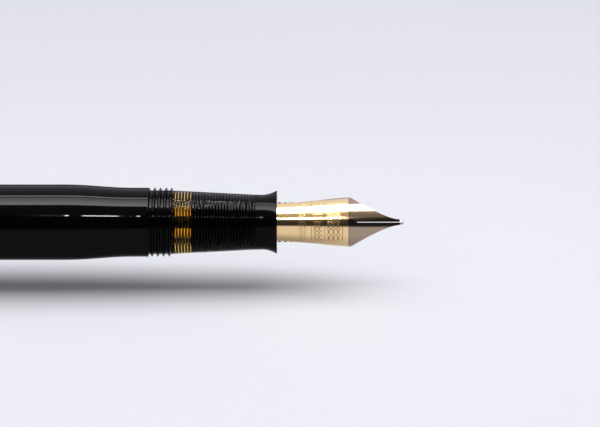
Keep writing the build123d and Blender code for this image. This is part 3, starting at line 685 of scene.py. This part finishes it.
rim_edge_x = rim_x - 0.12
socket_x, socket_r = spigot_x + 0.01, spigot_r + 0.01
fall = atan2(section_neck_r - section_back_r, neck_x - face_x)
flare_run, flare_rise = rim_edge_x - neck_x, section_rim_r - section_neck_r
flare_r = (flare_run**2 + flare_rise**2) / (2 * (flare_rise * cos(fall) - flare_run * sin(fall)))
flare_centre = (neck_x - flare_r * sin(fall), section_neck_r + flare_r * cos(fall))
flare_end = atan2(section_rim_r - flare_centre[1], rim_edge_x - flare_centre[0])
flare = arc_points(flare_centre, flare_r, degrees(fall) - 90, degrees(flare_end), 21)
rim = softened([(rim_x - 0.10, section_rim_r, 0), (rim_x, section_rim_r - 0.02, 0.04),
                (rim_x, feed_bore_r + 0.06, 0)])[1:]
joint_x = lip_x + 0.03
lip = [(lip_x, socket_r), (lip_x, cone_r(lip_x) - 0.03), (joint_x, cone_r(joint_x))] + flare + rim + [
    (rim_x - 0.06, feed_bore_r), (socket_x, feed_bore_r), (socket_x, socket_r)]
finish_piece("flared_lip", turned(lip), black_ring, "pen", "black_rings", "section_lip")

# ============================================================ nib
# Gold sheet, rolled and stamped into a curved nib, pierced and slit, engraved and polished. Its
# front is masked off and plated with bright rhodium. It is pushed in with the feed.

nib_wall = 0.35
nib_back_x = rim_x - 9.1
shoulder_x, tip_x = rim_x + 11.1, rim_x + 19.0
weld_x = tip_x - 0.6
mask_x = shoulder_x - 0.35
nib_r = 2.98
nib_xs = [nib_back_x, rim_x, rim_x + 4.77, shoulder_x, shoulder_x + 4.19, tip_x - 0.3]
nib_rs = [nib_r, nib_r, 3.26, 3.78, 3.90, 4.00]
nib_crests = [nib_r, nib_r, nib_r, 2.93, 2.60, 2.08]
nib_wraps = [72.0, 72.0, 74.5, 77.0, 58.0, 32.0]
breather_r, slit_half = 0.45, 0.05


def flowing(places, values):
    """A smooth curve through values at places, level at its first two, as a function of x."""
    slopes = [float(slope) for slope in np.gradient(np.array(values), np.array(places))]
    slopes[:2] = 0.0, 0.0

    def value_at(x):
        i = 0
        while i < len(places) - 2 and x > places[i + 1]:
            i += 1
        span = places[i + 1] - places[i]
        t = min(max((x - places[i]) / span, 0.0), 1.0)
        return eased_value(t, values[i], values[i + 1], span * slopes[i], span * slopes[i + 1])

    return value_at


nib_outer_r = flowing(nib_xs, nib_rs)
nib_crest = flowing(nib_xs, nib_crests)
nib_wrap = flowing(nib_xs, nib_wraps)
tine_run = tip_x - shoulder_x
tine_half_width = flowing([shoulder_x - 8, shoulder_x - 4, shoulder_x, shoulder_x + 0.46 * tine_run,
                           shoulder_x + 0.76 * tine_run, tip_x], [9.5, 6.3, 3.65, 1.64, 0.66, 0.3])


def nib_point(x, share, depth=0.0):
    """A point of the nib: share runs from -1 to 1 across it, depth is how far below its outside."""
    radius, crest = nib_outer_r(x), nib_crest(x)
    wrap = radians(nib_wrap(x))
    if x > shoulder_x:
        wrap = min(wrap, asin(min(1.0, tine_half_width(x) / radius)))
    turn = share * wrap
    return pen_point(x, (radius - depth) * sin(turn), crest - radius + (radius - depth) * cos(turn))


def true_nib_normal(co):
    """The outward normal of the nib's outside at a point on it, or nothing elsewhere."""
    x, side, height = co.x / MM, co.dot(across) / MM, co.dot(up) / MM
    radius, crest = nib_outer_r(x), nib_crest(x)
    reach = hypot(side, height - crest + radius)
    if abs(reach - radius) > 0.006:
        return None
    ahead_r = nib_outer_r(x + 0.1)
    ahead = hypot(side, height - nib_crest(x + 0.1) + ahead_r)
    slope = (ahead - ahead_r - reach + radius) / 0.1
    return pen_point(slope, side / reach, (height - crest + radius) / reach).normalized()


stations = list(np.linspace(nib_back_x, shoulder_x - 0.02, 90)) + list(np.linspace(shoulder_x, weld_x, 80))
shares = [-cos(pi * k / 72) for k in range(73)]
sheet = bmesh.new()
layers = []
for depth in (0.0, nib_wall):
    layers.append([[sheet.verts.new(nib_point(x, s, depth) * MM) for s in shares] for x in stations])
rows, columns = len(stations), len(shares)
for layer in layers:
    for i in range(rows - 1):
        for k in range(columns - 1):
            sheet.faces.new((layer[i][k], layer[i][k + 1], layer[i + 1][k + 1], layer[i + 1][k]))
top, under = layers
for i in range(rows - 1):
    sheet.faces.new((top[i][0], top[i + 1][0], under[i + 1][0], under[i][0]))
    sheet.faces.new((top[i][-1], under[i][-1], under[i + 1][-1], top[i + 1][-1]))
for k in range(columns - 1):
    sheet.faces.new((top[0][k], under[0][k], under[0][k + 1], top[0][k + 1]))
    sheet.faces.new((top[-1][k], top[-1][k + 1], under[-1][k + 1], under[-1][k]))
nib_mesh = finished(sheet)

below_nib, above_nib = 0.5, 4.0
breather = arc_points((shoulder_x, 0), breather_r, 0, 360, 48)[:-1]
slit = [(shoulder_x, -slit_half), (tip_x, -slit_half), (tip_x, slit_half), (shoulder_x, slit_half)]
nib_mesh = cut_out(nib_mesh, *[plan_prism(outline, below_nib, above_nib) for outline in (breather, slit)])
polished = [true_nib_normal(nib_mesh.vertices[loop.vertex_index].co) for loop in nib_mesh.loops]
corners = [item.vector.copy() for item in nib_mesh.corner_normals]
facing = [poly.normal for poly in nib_mesh.polygons for _ in poly.vertices]
nib_mesh.normals_split_custom_set([
    n if n is not None and f.dot(n) > 0.95 else c for n, c, f in zip(polished, corners, facing)])

# Polished 14-carat gold with a rhodium-plated front: engraved bands whose cuts are darkened with painted
# shade, and a fine polishing haze.
# u runs along the nib and v round it, both in millimetres, so that the cuts keep their real size.
nib_metal, tree, here = new_material("engraved_gold_and_rhodium")
spot = add(tree, "ShaderNodeSeparateXYZ", {"Vector": here})


def maths(tree, operation, first, second=None, third=None):
    """One sum on values or sockets."""
    inputs = {i: v for i, v in enumerate((first, second, third)) if v is not None}
    return add(tree, "ShaderNodeMath", inputs, operation=operation)


place_x = maths(tree, "DIVIDE", spot.outputs["X"], MM)
side_y = maths(tree, "MULTIPLY", spot.outputs["Y"], across.y / MM)
side = maths(tree, "MULTIPLY_ADD", spot.outputs["Z"], across.z / MM, side_y)


def in_band(tree, value, low, high, edge):
    """1 where the value lies between low and high, falling to 0 over the edge."""
    rise = add(tree, "ShaderNodeMapRange", {"Value": value, "From Min": low - edge, "From Max": low + edge})
    fall = add(tree, "ShaderNodeMapRange", {"Value": value, "From Min": high - edge, "From Max": high + edge,
               "To Min": 1.0, "To Max": 0.0})
    return maths(tree, "MULTIPLY", rise, fall)


def wave_cuts(tree, along, round_it, pitch, swing, period, width):
    """Lines cut a pitch apart across the nib, each a wave with that swing and period."""
    wave = maths(tree, "SINE", maths(tree, "MULTIPLY", round_it, 2 * pi / period))
    shifted = maths(tree, "MULTIPLY_ADD", wave, swing, along)
    near = maths(tree, "PINGPONG", shifted, pitch / 2)
    return add(tree, "ShaderNodeMapRange", {"Value": near, "From Min": width * 0.4, "From Max": width,
               "To Min": 1.0, "To Max": 0.0})


# Engraving, by its distance behind the shoulder: a wide band of crossed waves, a narrower one, a
# row of single waves, and a plain line in front of each
engraved = 0.0
for front, back, pitch, swings, period, width in (
        (1.6, 3.6, 0.70, (0.46, -0.46), 1.9, 0.085), (4.4, 5.6, 0.60, (0.34, -0.34), 1.3, 0.075),
        (6.8, 7.9, 0.55, (0.26,), 0.9, 0.07)):
    inside = in_band(tree, place_x, shoulder_x - back, shoulder_x - front, 0.03)
    for swing in swings:
        cuts = maths(tree, "MULTIPLY", wave_cuts(tree, place_x, side, pitch, swing, period, width), inside)
        engraved = maths(tree, "MAXIMUM", engraved, cuts)
for front, back in ((1.25, 1.35), (3.92, 4.0), (5.87, 5.95)):
    plain_line = in_band(tree, place_x, shoulder_x - back, shoulder_x - front, 0.015)
    engraved = maths(tree, "MAXIMUM", engraved, plain_line)
engraved_half = 2.75
engraved = maths(tree, "MULTIPLY", engraved, in_band(tree, side, -engraved_half, engraved_half, 0.05))
haze = add(tree, "ShaderNodeTexNoise", {"Vector": here, "Scale": 1 / (0.35 * MM), "Detail": 4.0})
grain_at = add(tree, "ShaderNodeMapping", {"Vector": here, "Scale": (0.06, 1.0, 1.0)})
grain = add(tree, "ShaderNodeTexNoise", {"Vector": grain_at, "Scale": 1 / (0.05 * MM), "Detail": 2.0})
plated = add(tree, "ShaderNodeMapRange", {"Value": place_x, "From Min": mask_x - 0.02,
             "From Max": mask_x + 0.02})
mask_line = in_band(tree, place_x, mask_x - 0.05, mask_x + 0.04, 0.03)
bare = add(tree, "ShaderNodeMix", {"Factor": plated, "A": linear("EECF9A"),
           "B": linear("A3917F")}, data_type="RGBA")
# Painted shade: the engraved cuts are darkened towards brown, as if shaded in their hollows
cut_painted_shade = add(tree, "ShaderNodeMix", {"Factor": maths(tree, "MULTIPLY", engraved, 0.8), "A": bare,
              "B": linear("6B4A1E")}, data_type="RGBA")
lined = add(tree, "ShaderNodeMix", {"Factor": maths(tree, "MULTIPLY", mask_line, 0.7),
            "A": cut_painted_shade, "B": linear("3A2C1A")}, data_type="RGBA")
dull = maths(tree, "MULTIPLY_ADD", haze, 0.05, 0.09)
dull = maths(tree, "MULTIPLY_ADD", engraved, 0.12, dull)
height = maths(tree, "MULTIPLY_ADD", engraved, -1.0, maths(tree, "MULTIPLY", grain, 0.04))
relief = add(tree, "ShaderNodeBump", {"Height": height, "Strength": 0.6, "Distance": 0.02 * MM})
surface = add(tree, "ShaderNodeBsdfPrincipled", {"Base Color": lined, "Metallic": 1.0,
              "Roughness": dull, "Normal": relief})
add(tree, "ShaderNodeOutputMaterial", {"Surface": surface})
finish_piece("nib_sheet", nib_mesh, nib_metal, "pen", "gold", "nib")

# ============================================================ nib tipping
# Two pellets of hard iridium alloy, one welded to each tine and ground round, with the slit
# between them.

tipping, tree, here = new_material("ground_iridium_alloy")
grit = add(tree, "ShaderNodeTexNoise", {"Vector": here, "Scale": 1 / (0.04 * MM), "Detail": 3.0})
gloss = add(tree, "ShaderNodeMapRange", {"Value": grit, "To Min": 0.15, "To Max": 0.35})
surface = add(tree, "ShaderNodeBsdfPrincipled", {"Base Color": linear("A39A90"), "Metallic": 1.0,
              "Roughness": gloss})
add(tree, "ShaderNodeOutputMaterial", {"Surface": surface})

pellet_r = 0.38
nib_drop = 0.9
pellet_centre = pen_point(tip_x - pellet_r, 0, nib_r - nib_drop - nib_wall / 2)
pellets = bmesh.new()
for way in (-1, 1):
    half = bmesh.new()
    bmesh.ops.create_uvsphere(half, u_segments=64, v_segments=48, radius=pellet_r * MM)
    bmesh.ops.translate(half, verts=half.verts, vec=pellet_centre * MM)
    slit_face = (across * slit_half * way, across * -way)
    weld_face = (Vector((weld_x, 0, 0)), Vector((-1, 0, 0)))
    for spot_on, normal in (slit_face, weld_face):
        bmesh.ops.bisect_plane(half, geom=half.verts[:] + half.edges[:] + half.faces[:], clear_outer=True,
                               plane_co=spot_on * MM, plane_no=normal)
        bmesh.ops.holes_fill(half, edges=[edge for edge in half.edges if edge.is_boundary])
    one = bpy.data.meshes.new("pellet")
    half.to_mesh(one)
    half.free()
    pellets.from_mesh(one)
finish_piece("tipping_pellets", finished(pellets), tipping, "pen", "tipping_metal", "nib_tipping")

# ============================================================ feed
# A rod of black hard rubber, turned, then sawn with a comb of fins under the nib and a channel
# above. Its thin tail reaches back through the ink chamber.

ebonite, tree, here = new_material("sawn_black_hard_rubber")
saw = add(tree, "ShaderNodeTexNoise", {"Vector": here, "Scale": 1 / (0.12 * MM), "Detail": 5.0})
gloss = add(tree, "ShaderNodeMapRange", {"Value": saw, "To Min": 0.32, "To Max": 0.5})
rough = add(tree, "ShaderNodeBump", {"Height": saw, "Strength": 0.2, "Distance": 0.02 * MM})
surface = add(tree, "ShaderNodeBsdfPrincipled", {"Base Color": linear("0C0B0B"), "IOR": 1.5,
              "Specular IOR Level": 0.35, "Roughness": gloss, "Normal": rough})
add(tree, "ShaderNodeOutputMaterial", {"Surface": surface})


def side_prism(outline, half_width):
    """A prism with its outline in the (x, up) plane, that far to each side."""
    sides = (-half_width, half_width)
    return skinned([[pen_point(x, side, height) for x, height in outline] for side in sides])


feed_r = nib_r - nib_wall - 0.02
comb_pitch, comb_fins, comb_top = 0.9, 7, 0.3
comb_end_x = rim_x + (comb_fins - 0.4) * comb_pitch
nose_x, nose_r = rim_x + 12.0, 1.9
feed_back_x = feed_seat_x + 0.02
rod_back_x, rod_r = feed_seat_x - 11.8, 0.95
pared_x = comb_end_x - 1
clear_of_feed = 4.0
channel_floor, channel_half = feed_r - 0.7, 0.3
rod = [(rod_back_x, 0), (rod_back_x, rod_r - 0.1), (rod_back_x + 0.1, rod_r), (feed_back_x, rod_r),
       (feed_back_x, feed_r - 0.1), (feed_back_x + 0.1, feed_r), (pared_x, feed_r), (nose_x, nose_r),
       (nose_x, 0)]
paring = side_prism([(pared_x, -feed_r - 1), (pared_x, -feed_r), (nose_x + 1, 0.35 * nose_r),
                     (nose_x + 1, -feed_r - 1)], clear_of_feed)
channel = side_prism([(feed_back_x - 0.5, channel_floor), (nose_x + 1, channel_floor),
                      (nose_x + 1, clear_of_feed), (feed_back_x - 0.5, clear_of_feed)], channel_half)
feed_mesh = cut_out(turned(rod, 128), paring, channel)
finish_piece("feed_core", feed_mesh, ebonite, "pen", "black_ebonite", "feed")

half_arc = pi / 2 + asin(comb_top / nib_r)
comb_values = {"Outer Radius": nib_r * MM, "End Scale": 1.0, "Depth": 0.6 * MM, "Rounding": 0.05 * MM,
               "Whole": False, "Arc Start": nib_roll - half_arc, "Arc Sweep": 2 * half_arc,
               "Material": ebonite}
fins = grown(band_tree, {**comb_values, "Count": comb_fins, "First": (rim_x + 0.4 * comb_pitch) * MM,
             "Pitch": comb_pitch * MM, "Width": 0.45 * MM})
finish_piece("feed_fins", fins, ebonite, "pen", "black_ebonite")
saddle_len = rim_x - feed_back_x
saddle = grown(band_tree, {**comb_values, "Count": 1, "First": (feed_back_x + saddle_len / 2) * MM,
               "Pitch": 0.0, "Width": saddle_len * MM})
finish_piece("feed_saddle", saddle, ebonite, "pen", "black_ebonite")

# ============================================================ cap shell
# A tube of the barrel's black rubber, turned and bored, threaded inside its mouth and slotted for
# the clip. It is posted on the tail.

cap_len = 52.0
shell_end_x = post_x - cap_len
belly_x = post_x - 0.38 * cap_len
mouth_r, belly_r, shell_end_r = 6.02, 6.247, 5.9
band_x = post_x - 2.4
band_width = 3.2
band_seat_r = 5.67
thread_back_x = post_seat_x - thread_len
cap_bore_r, lip_bore_r = 5.05, 5.35
cap_thread_root_r, cap_thread_crest_r = 5.25, 4.88
clip_x = post_x - 47.2
cap_curve = np.polyfit([post_x, belly_x, shell_end_x], [mouth_r, belly_r, shell_end_r], 2)


def cap_r(x):
    return float(np.polyval(cap_curve, x))


band_back_x = band_x - band_width
break_edge = 0.03
front = [(x, cap_r(x), 0) for x in np.linspace(post_x - 0.15, band_x + break_edge, 8)[1:]]
behind = [(x, cap_r(x)) for x in np.linspace(band_back_x - break_edge, shell_end_x + 0.04, 90)]
cap_profile = softened([(post_x, lip_bore_r, 0.1), (post_x, mouth_r, 0.18)] + front) + [
    (band_x, cap_r(band_x) - break_edge), (band_x, band_seat_r), (band_back_x, band_seat_r),
    (band_back_x, cap_r(band_back_x) - break_edge)] + behind + [
    (shell_end_x, shell_end_r - 0.04), (shell_end_x, cap_bore_r), (thread_back_x, cap_bore_r),
    (thread_back_x, cap_thread_root_r), (post_seat_x, cap_thread_root_r), (post_seat_x, lip_bore_r)]
slot_len, slot_width = 0.94, 3.24
slot_middle_z, slot_height = -6.0, 4.0
clip_slot = bmesh.new()
bmesh.ops.create_cube(clip_slot, size=1.0)
for vert in clip_slot.verts:
    vert.co = Vector((clip_x + vert.co.x * slot_len, vert.co.y * slot_width,
                      slot_middle_z + vert.co.z * slot_height)) * MM
cap_mesh = cut_out(turned(cap_profile), finished(clip_slot))
keep_turned_normals(cap_mesh, cap_r, lambda x: (cap_r(x + 0.05) - cap_r(x - 0.05)) / 0.1)
finish_piece("cap_tube", cap_mesh, black_gloss, "cap", "black_barrel", "cap_shell")

cap_ridge = cap_thread_root_r - cap_thread_crest_r
cap_thread = grown(ridge_tree, {
    **ridge_values, "Start": (thread_back_x + 0.1) * MM, "Turns": 3.9,
    "Root Radius": (cap_thread_root_r - (cap_ridge - thread_sink) / 2) * MM,
    "Height": (cap_ridge + thread_sink) * MM, "Base Width": 0.6 * MM, "Crest Width": 0.14 * MM,
    "Section Turn": (0.0, 0.0, -pi / 2)})
finish_piece("cap_thread", cap_thread, black_gloss, "cap", "black_barrel")

# ============================================================ cap band
# A ring of gold-filled brass, rolled, polished, and spun into a groove near the cap's mouth, with
# a fine line turned near each edge.

gold_plate, tree, here = new_material("polished_gold_filled_brass")
wear = add(tree, "ShaderNodeTexNoise", {"Vector": here, "Scale": 1 / (0.6 * MM), "Detail": 5.0})
gloss = add(tree, "ShaderNodeMapRange", {"Value": wear, "From Min": 0.3, "From Max": 0.75,
            "To Min": 0.08, "To Max": 0.18})
toned = add(tree, "ShaderNodeMix", {"Factor": wear, "A": linear("F0CE8B"), "B": linear("E6BF78")},
            data_type="RGBA")
surface = add(tree, "ShaderNodeBsdfPrincipled", {"Base Color": toned, "Metallic": 1.0,
              "Roughness": gloss})
add(tree, "ShaderNodeOutputMaterial", {"Surface": surface})

band_r = 6.14
band_in_r = band_seat_r + 0.01
line_depth = 0.06
line_steps = ((0.45, 0.0), (0.5, line_depth), (0.6, line_depth), (0.65, 0.0))
front_line = [(band_x - inward, band_r - depth, 0.02) for inward, depth in line_steps]
back_line = [(band_back_x + inward, band_r - depth, 0.02) for inward, depth in line_steps[::-1]]
band = softened([(band_x, band_in_r, 0), (band_x, band_r, 0.08)] + front_line + back_line
                + [(band_back_x, band_r, 0.08), (band_back_x, band_in_r, 0)], 3)
finish_piece("gold_band", turned(band), gold_plate, "cap", "gold_plate", "cap_band")

# ============================================================ cap crown
# A domed plug of the same black rubber, turned and polished, pressed into the end of the cap.

crown_len = 6.0
crown_x = shell_end_x - crown_len
plug_x, plug_r = shell_end_x + 2.8, cap_bore_r - 0.02
dome = [(shell_end_x - crown_len * sin(t), shell_end_r * cos(t) ** 0.8)
        for t in np.linspace(0.03, pi / 2, 40)]
crown = [(plug_x, 0), (plug_x, plug_r - 0.13), (plug_x - 0.1, plug_r), (shell_end_x, plug_r),
         (shell_end_x, shell_end_r - 0.06), (shell_end_x - 0.05, shell_end_r - 0.01)]
crown += dome[:-1] + [(crown_x, 0)]
finish_piece("domed_crown", turned(crown), black_gloss, "cap", "black_barrel", "cap_crown")

# ============================================================ inner cap
# A liner moulded in dull black rubber and pushed up inside the cap. Its mouth seals on the rim of
# the grip when the pen is capped.

liner, tree, here = new_material("moulded_black_rubber")
skin = add(tree, "ShaderNodeTexNoise", {"Vector": here, "Scale": 1 / (0.2 * MM), "Detail": 3.0})
gloss = add(tree, "ShaderNodeMapRange", {"Value": skin, "To Min": 0.45, "To Max": 0.6})
surface = add(tree, "ShaderNodeBsdfPrincipled", {"Base Color": linear("101011"), "IOR": 1.5,
              "Roughness": gloss})
add(tree, "ShaderNodeOutputMaterial", {"Surface": surface})

liner_mouth_x = thread_back_x - 15.6
liner_end_x = liner_mouth_x - 22.5
liner_floor_x = liner_end_x + 1.2
liner_r, liner_bore_r = 5.0, 4.2
liner_profile = softened([
    (liner_end_x, 0, 0), (liner_end_x, liner_r, 0.2), (liner_mouth_x, liner_r, 0.15),
    (liner_mouth_x, liner_bore_r, 0.15), (liner_floor_x, liner_bore_r, 0.2), (liner_floor_x, 0, 0)])
finish_piece("cap_liner", turned(liner_profile, 160), liner, "cap", "liner", "inner_cap")

# ============================================================ clip
# A strip of gold-filled spring brass, blanked with rounded edges and bent: a foot inside the cap,
# a neck through the slot, and a long arm that narrows to the ball.


def strip_section(half_width, half_wall, rounding, crown=0.0, steps=5):
    """A flat strip's section as (side, height) points: rounded edges and a top that crowns."""
    out = []
    for side, level, start in ((1, 1, 0), (-1, 1, 90), (-1, -1, 180), (1, -1, 270)):
        centre = (side * (half_width - rounding), level * (half_wall - rounding))
        for i in range(steps + 1):
            a = radians(start + 90 * i / steps)
            out.append([centre[0] + rounding * cos(a), centre[1] + rounding * sin(a)])
        if (side, level) == (1, 1):
            out += [[s * (half_width - rounding), half_wall] for s in np.linspace(0.9, -0.9, 13)]
    for point in out:
        if point[1] > 0:
            point[1] -= crown * (point[0] / half_width) ** 2
    return out


def bent_path(corners, steps=10):
    """Points of a path through (x, height, bend radius) corners, each with its direction."""
    line = []
    for i, corner in enumerate(corners):
        here = Vector(corner[:2])
        if i in (0, len(corners) - 1):
            line.append(here)
            continue
        before = (Vector(corners[i - 1][:2]) - here).normalized()
        after = (Vector(corners[i + 1][:2]) - here).normalized()
        half = before.angle(after) / 2
        middle = here + (before + after).normalized() * corner[2] / sin(half)
        first = here + before * corner[2] / tan(half) - middle
        last = here + after * corner[2] / tan(half) - middle
        swing = atan2(first.x * last.y - first.y * last.x, first.dot(last))
        base = atan2(first.y, first.x)
        line += [middle + corner[2] * Vector((cos(base + swing * k / steps), sin(base + swing * k / steps)))
                 for k in range(steps + 1)]
    full = []
    for a, b in zip(line, line[1:]):
        count = max(1, int((b - a).length / 0.6))
        full += [a + (b - a) * k / count for k in range(count)]
    return full + [line[-1]]


def path_frames(path):
    """Each point of a path with the unit normal to its left."""
    out = []
    for i, here in enumerate(path):
        ahead = path[min(i + 1, len(path) - 1)] - path[max(i - 1, 0)]
        ahead.normalize()
        out.append((here, Vector((-ahead.y, ahead.x))))
    return out


ball_x, ball_low, ball_r = post_x - 13.0, 8.05, 1.75
foot_len, foot_low = 1.3, 3.75
foot_bend, neck_bend = 0.49, 1.3
arm_end_x = ball_x - 1.55
narrowing_x, narrow_x = clip_x + 1.4, ball_x + 1
root_half, end_half, clip_half_wall = 1.495, 1.095, 0.345
clip_path = bent_path([(clip_x + foot_len, -foot_low, 0), (clip_x, -foot_low, foot_bend),
                       (clip_x, -ball_low, neck_bend), (arm_end_x, -ball_low, 0)])
clip_loops = []
for here, left in path_frames(clip_path):
    share = min(max((here.x - narrowing_x) / (narrow_x - narrowing_x), 0.0), 1.0)
    half_width = root_half + (end_half - root_half) * share
    on_arm = here.y < -ball_low + 0.15
    section = strip_section(half_width, clip_half_wall, 0.12, 0.14 if on_arm else 0.0)
    clip_loops.append([(here.x - left.x * t, side, here.y - left.y * t) for side, t in section])
finish_piece("clip_strip", skinned(clip_loops), gold_plate, "clip", "gold_plate", "clip")

# ============================================================ clip ball
# A ball of the same gold-filled brass, turned and polished, soldered over the end of the strip.

ball = [(ball_x - ball_r * cos(t), ball_r * sin(t)) for t in np.linspace(0, pi, 97)]
ball[0], ball[-1] = (ball_x - ball_r, 0), (ball_x + ball_r, 0)
finish_piece("clip_bead", turned(ball, 192, ball_low), gold_plate, "clip", "gold_plate", "clip_ball")

# ============================================================ clip backing plate, rivets
# Small stamped steel pieces out of sight inside the cap and barrel, kept as they were made in CAD.

steel, tree, here = new_material("cold_rolled_spring_steel")
rolled_at = add(tree, "ShaderNodeMapping", {"Vector": here, "Scale": (0.04, 1.0, 1.0)})
rolled = add(tree, "ShaderNodeTexNoise", {"Vector": rolled_at, "Scale": 1 / (0.06 * MM), "Detail": 4.0})
gloss = add(tree, "ShaderNodeMapRange", {"Value": rolled, "To Min": 0.22, "To Max": 0.42})
lines = add(tree, "ShaderNodeBump", {"Height": rolled, "Strength": 0.15, "Distance": 0.005 * MM})
surface = add(tree, "ShaderNodeBsdfPrincipled", {"Base Color": linear("B4B5B7"), "Metallic": 1.0,
              "Roughness": gloss, "Normal": lines})
add(tree, "ShaderNodeOutputMaterial", {"Surface": surface})
for node in ("clip_backing_plate", "bar_rivets"):
    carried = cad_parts[node]
    carried.data.materials.clear()
    carried.data.materials.append(steel)

# ============================================================ pressure bar
# A flat strip of spring steel with round ends that lies along the sac, riveted to its spring.


def round_ended(back_x, front_x, half, first_turn, end_steps, middle_steps, least):
    """Places along a strip with round ends, each with the strip's half width there."""
    places = ([back_x + half * (1 - cos(a)) for a in np.linspace(first_turn, pi / 2, end_steps)]
              + list(np.linspace(back_x + half, front_x - half, middle_steps))[1:-1]
              + [front_x - half * (1 - sin(a)) for a in np.linspace(0, pi / 2 - first_turn, end_steps)])
    out = []
    for x in places:
        inset = max(back_x + half - x, x - front_x + half, 0.0)
        out.append((x, sqrt(max(half**2 - inset**2, least))))
    return out


bar_under, bar_half_wall, bar_half = 3.4, 0.175, 1.892
bar_back_x, bar_front_x = -61.0, -12.0
bar_loops = []
for x, wide in round_ended(bar_back_x, bar_front_x, bar_half, 0.12, 16, 60, 0.01):
    section = strip_section(wide, bar_half_wall, min(0.1, 0.3 * wide))
    bar_loops.append([pen_point(x, side, bar_under + bar_half_wall + t) for side, t in section])
finish_piece("sac_bar", skinned(bar_loops), steel, "pressure_bar", "steel", "pressure_bar")

# ============================================================ bar spring
# A narrower strip of the same steel bent back on itself: the upper leg lies on the bore, and the
# lower leg, riveted to the bar, lifts the bar off the sac.

bend_x, bend_up, bend_r = -62.0, 3.6, 0.3
upper_end_x, lower_end_x = -59.52, -56.42
spring_half, spring_half_wall = 1.1, 0.1
spring_line = ([(x, bend_up + bend_r) for x in np.linspace(upper_end_x, bend_x + 0.1, 8)]
               + arc_points((bend_x, bend_up), bend_r, 90, 270, 19)
               + [(x, bend_up - bend_r) for x in np.linspace(bend_x + 0.1, lower_end_x, 16)])
spring_loops = []
for here, left in path_frames([Vector(point) for point in spring_line]):
    spring_loops.append([pen_point(here.x + left.x * t, side, here.y + left.y * t)
                         for side, t in strip_section(spring_half, spring_half_wall, 0.05)])
spring = new_object("j_spring", skinned(spring_loops), steel)
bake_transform(spring)
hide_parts("bar_spring")

# ============================================================ ink sac
# A dipped latex tube with a closed round end, stretched over the nipple, and left round under the bar.

latex, tree, here = new_material("dipped_black_latex")
talc = add(tree, "ShaderNodeTexNoise", {"Vector": here, "Scale": 1 / (0.7 * MM), "Detail": 6.0})
toned = add(tree, "ShaderNodeMix", {"Factor": talc, "A": linear("1B1A1A"), "B": linear("2C2A29")},
            data_type="RGBA")
gloss = add(tree, "ShaderNodeMapRange", {"Value": talc, "To Min": 0.45, "To Max": 0.7})
surface = add(tree, "ShaderNodeBsdfPrincipled", {"Base Color": toned,
              "Roughness": gloss, "Sheen Weight": 0.15})
add(tree, "ShaderNodeOutputMaterial", {"Surface": surface})

sac_in_r, sac_out_r, sac_len = 2.8, 3.2, 50.0
sac_mouth_x = tenon_x - 0.02
sac_dome_x = sac_mouth_x - sac_len + sac_out_r
sac = ([(sac_mouth_x, sac_in_r), (sac_mouth_x, sac_out_r - 0.1), (sac_mouth_x - 0.1, sac_out_r)]
       + [(x, sac_out_r) for x in np.linspace(sac_mouth_x - 1, sac_dome_x, 40)]
       + [(sac_dome_x - sac_out_r * sin(t), sac_out_r * cos(t)) for t in np.linspace(0.06, pi / 2, 26)][:-1]
       + [(sac_dome_x - sac_out_r, 0), (sac_dome_x - sac_in_r, 0)]
       + [(sac_dome_x - sac_in_r * sin(t), sac_in_r * cos(t)) for t in np.linspace(pi / 2, 0, 26)][1:])
sac_piece = finish_piece("latex_sac", turned(sac, 96), latex, "pen", "latex", "ink_sac")
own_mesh(sac_piece)

# ============================================================ lever
# Gold-filled brass, stamped and polished, on a steel pin across the slot. Its long arm lies flush
# with the barrel and its short arm presses the bar.

long_arm, short_arm, toe_r = 21.8, 3.8, 0.4
lever_back_x, arm_x = pivot_x - long_arm, pivot_x + short_arm
shoulder_start_x = pivot_x + 1.0
lever_half, lever_proud, tail_wall = 1.05, 0.15, 0.6
pivot_under, eye_r = pivot_up - 0.65, 0.39
barrel_taper = (body_r - post_seat_r) / (taper_start_x - post_seat_x)
lever_loops = []
for x, wide in round_ended(lever_back_x, arm_x + toe_r, lever_half, 0.15, 14, 70, 0.005):
    proud_r = body_r - barrel_taper * (taper_start_x - x) + lever_proud
    fall = min(max((x - shoulder_start_x) / (arm_x - shoulder_start_x), 0.0), 1.0)
    top_at = proud_r * (1 - fall) + (pivot_up + toe_r) * fall
    share = (x - lever_back_x) / long_arm
    low_at = (proud_r - tail_wall) * (1 - share) + pivot_under * share
    if x > pivot_x:
        reach = min((x - pivot_x) / short_arm, 1.0)
        low_at = pivot_under * (1 - reach) + (pivot_up - toe_r) * reach
    if x > arm_x:
        end = sqrt(max(toe_r**2 - (x - arm_x) ** 2, 0.01))
        top_at, low_at = pivot_up + end, pivot_up - end
    half_wall = (top_at - low_at) / 2
    crown = proud_r - sqrt(proud_r**2 - wide**2)
    section = strip_section(wide, half_wall, min(0.15, 0.4 * wide, 0.4 * half_wall), crown)
    lever_loops.append([pen_point(x, side, (top_at + low_at) / 2 + t) for side, t in section])
eye = side_prism(arc_points((pivot_x, pivot_up), eye_r, 0, 360, 40)[:-1], 3 * lever_half)
lever_mesh = cut_out(skinned(lever_loops), eye)
finish_piece("filler_lever", lever_mesh, gold_plate, "lever", "gold_plate", "lever")

# ============================================================ lever pin
# Steel wire pressed through the barrel's wall and filed flush with it on both sides.

pin_tip, pin_shank = (0.01, 0.32), (0.04, 0.348)
pin_loops = []
for end, (sunk, radius) in ((-1, pin_tip), (-1, pin_shank), (1, pin_shank), (1, pin_tip)):
    loop = []
    for x, height in arc_points((pivot_x, pivot_up), radius, 0, 360, 48)[:-1]:
        side = end * sqrt((barrel_r(x) - sunk) ** 2 - height**2)
        loop.append(pen_point(x, side, height))
    pin_loops.append(loop)
finish_piece("cross_pin", skinned(pin_loops), steel, "pen", "steel", "lever_pin")
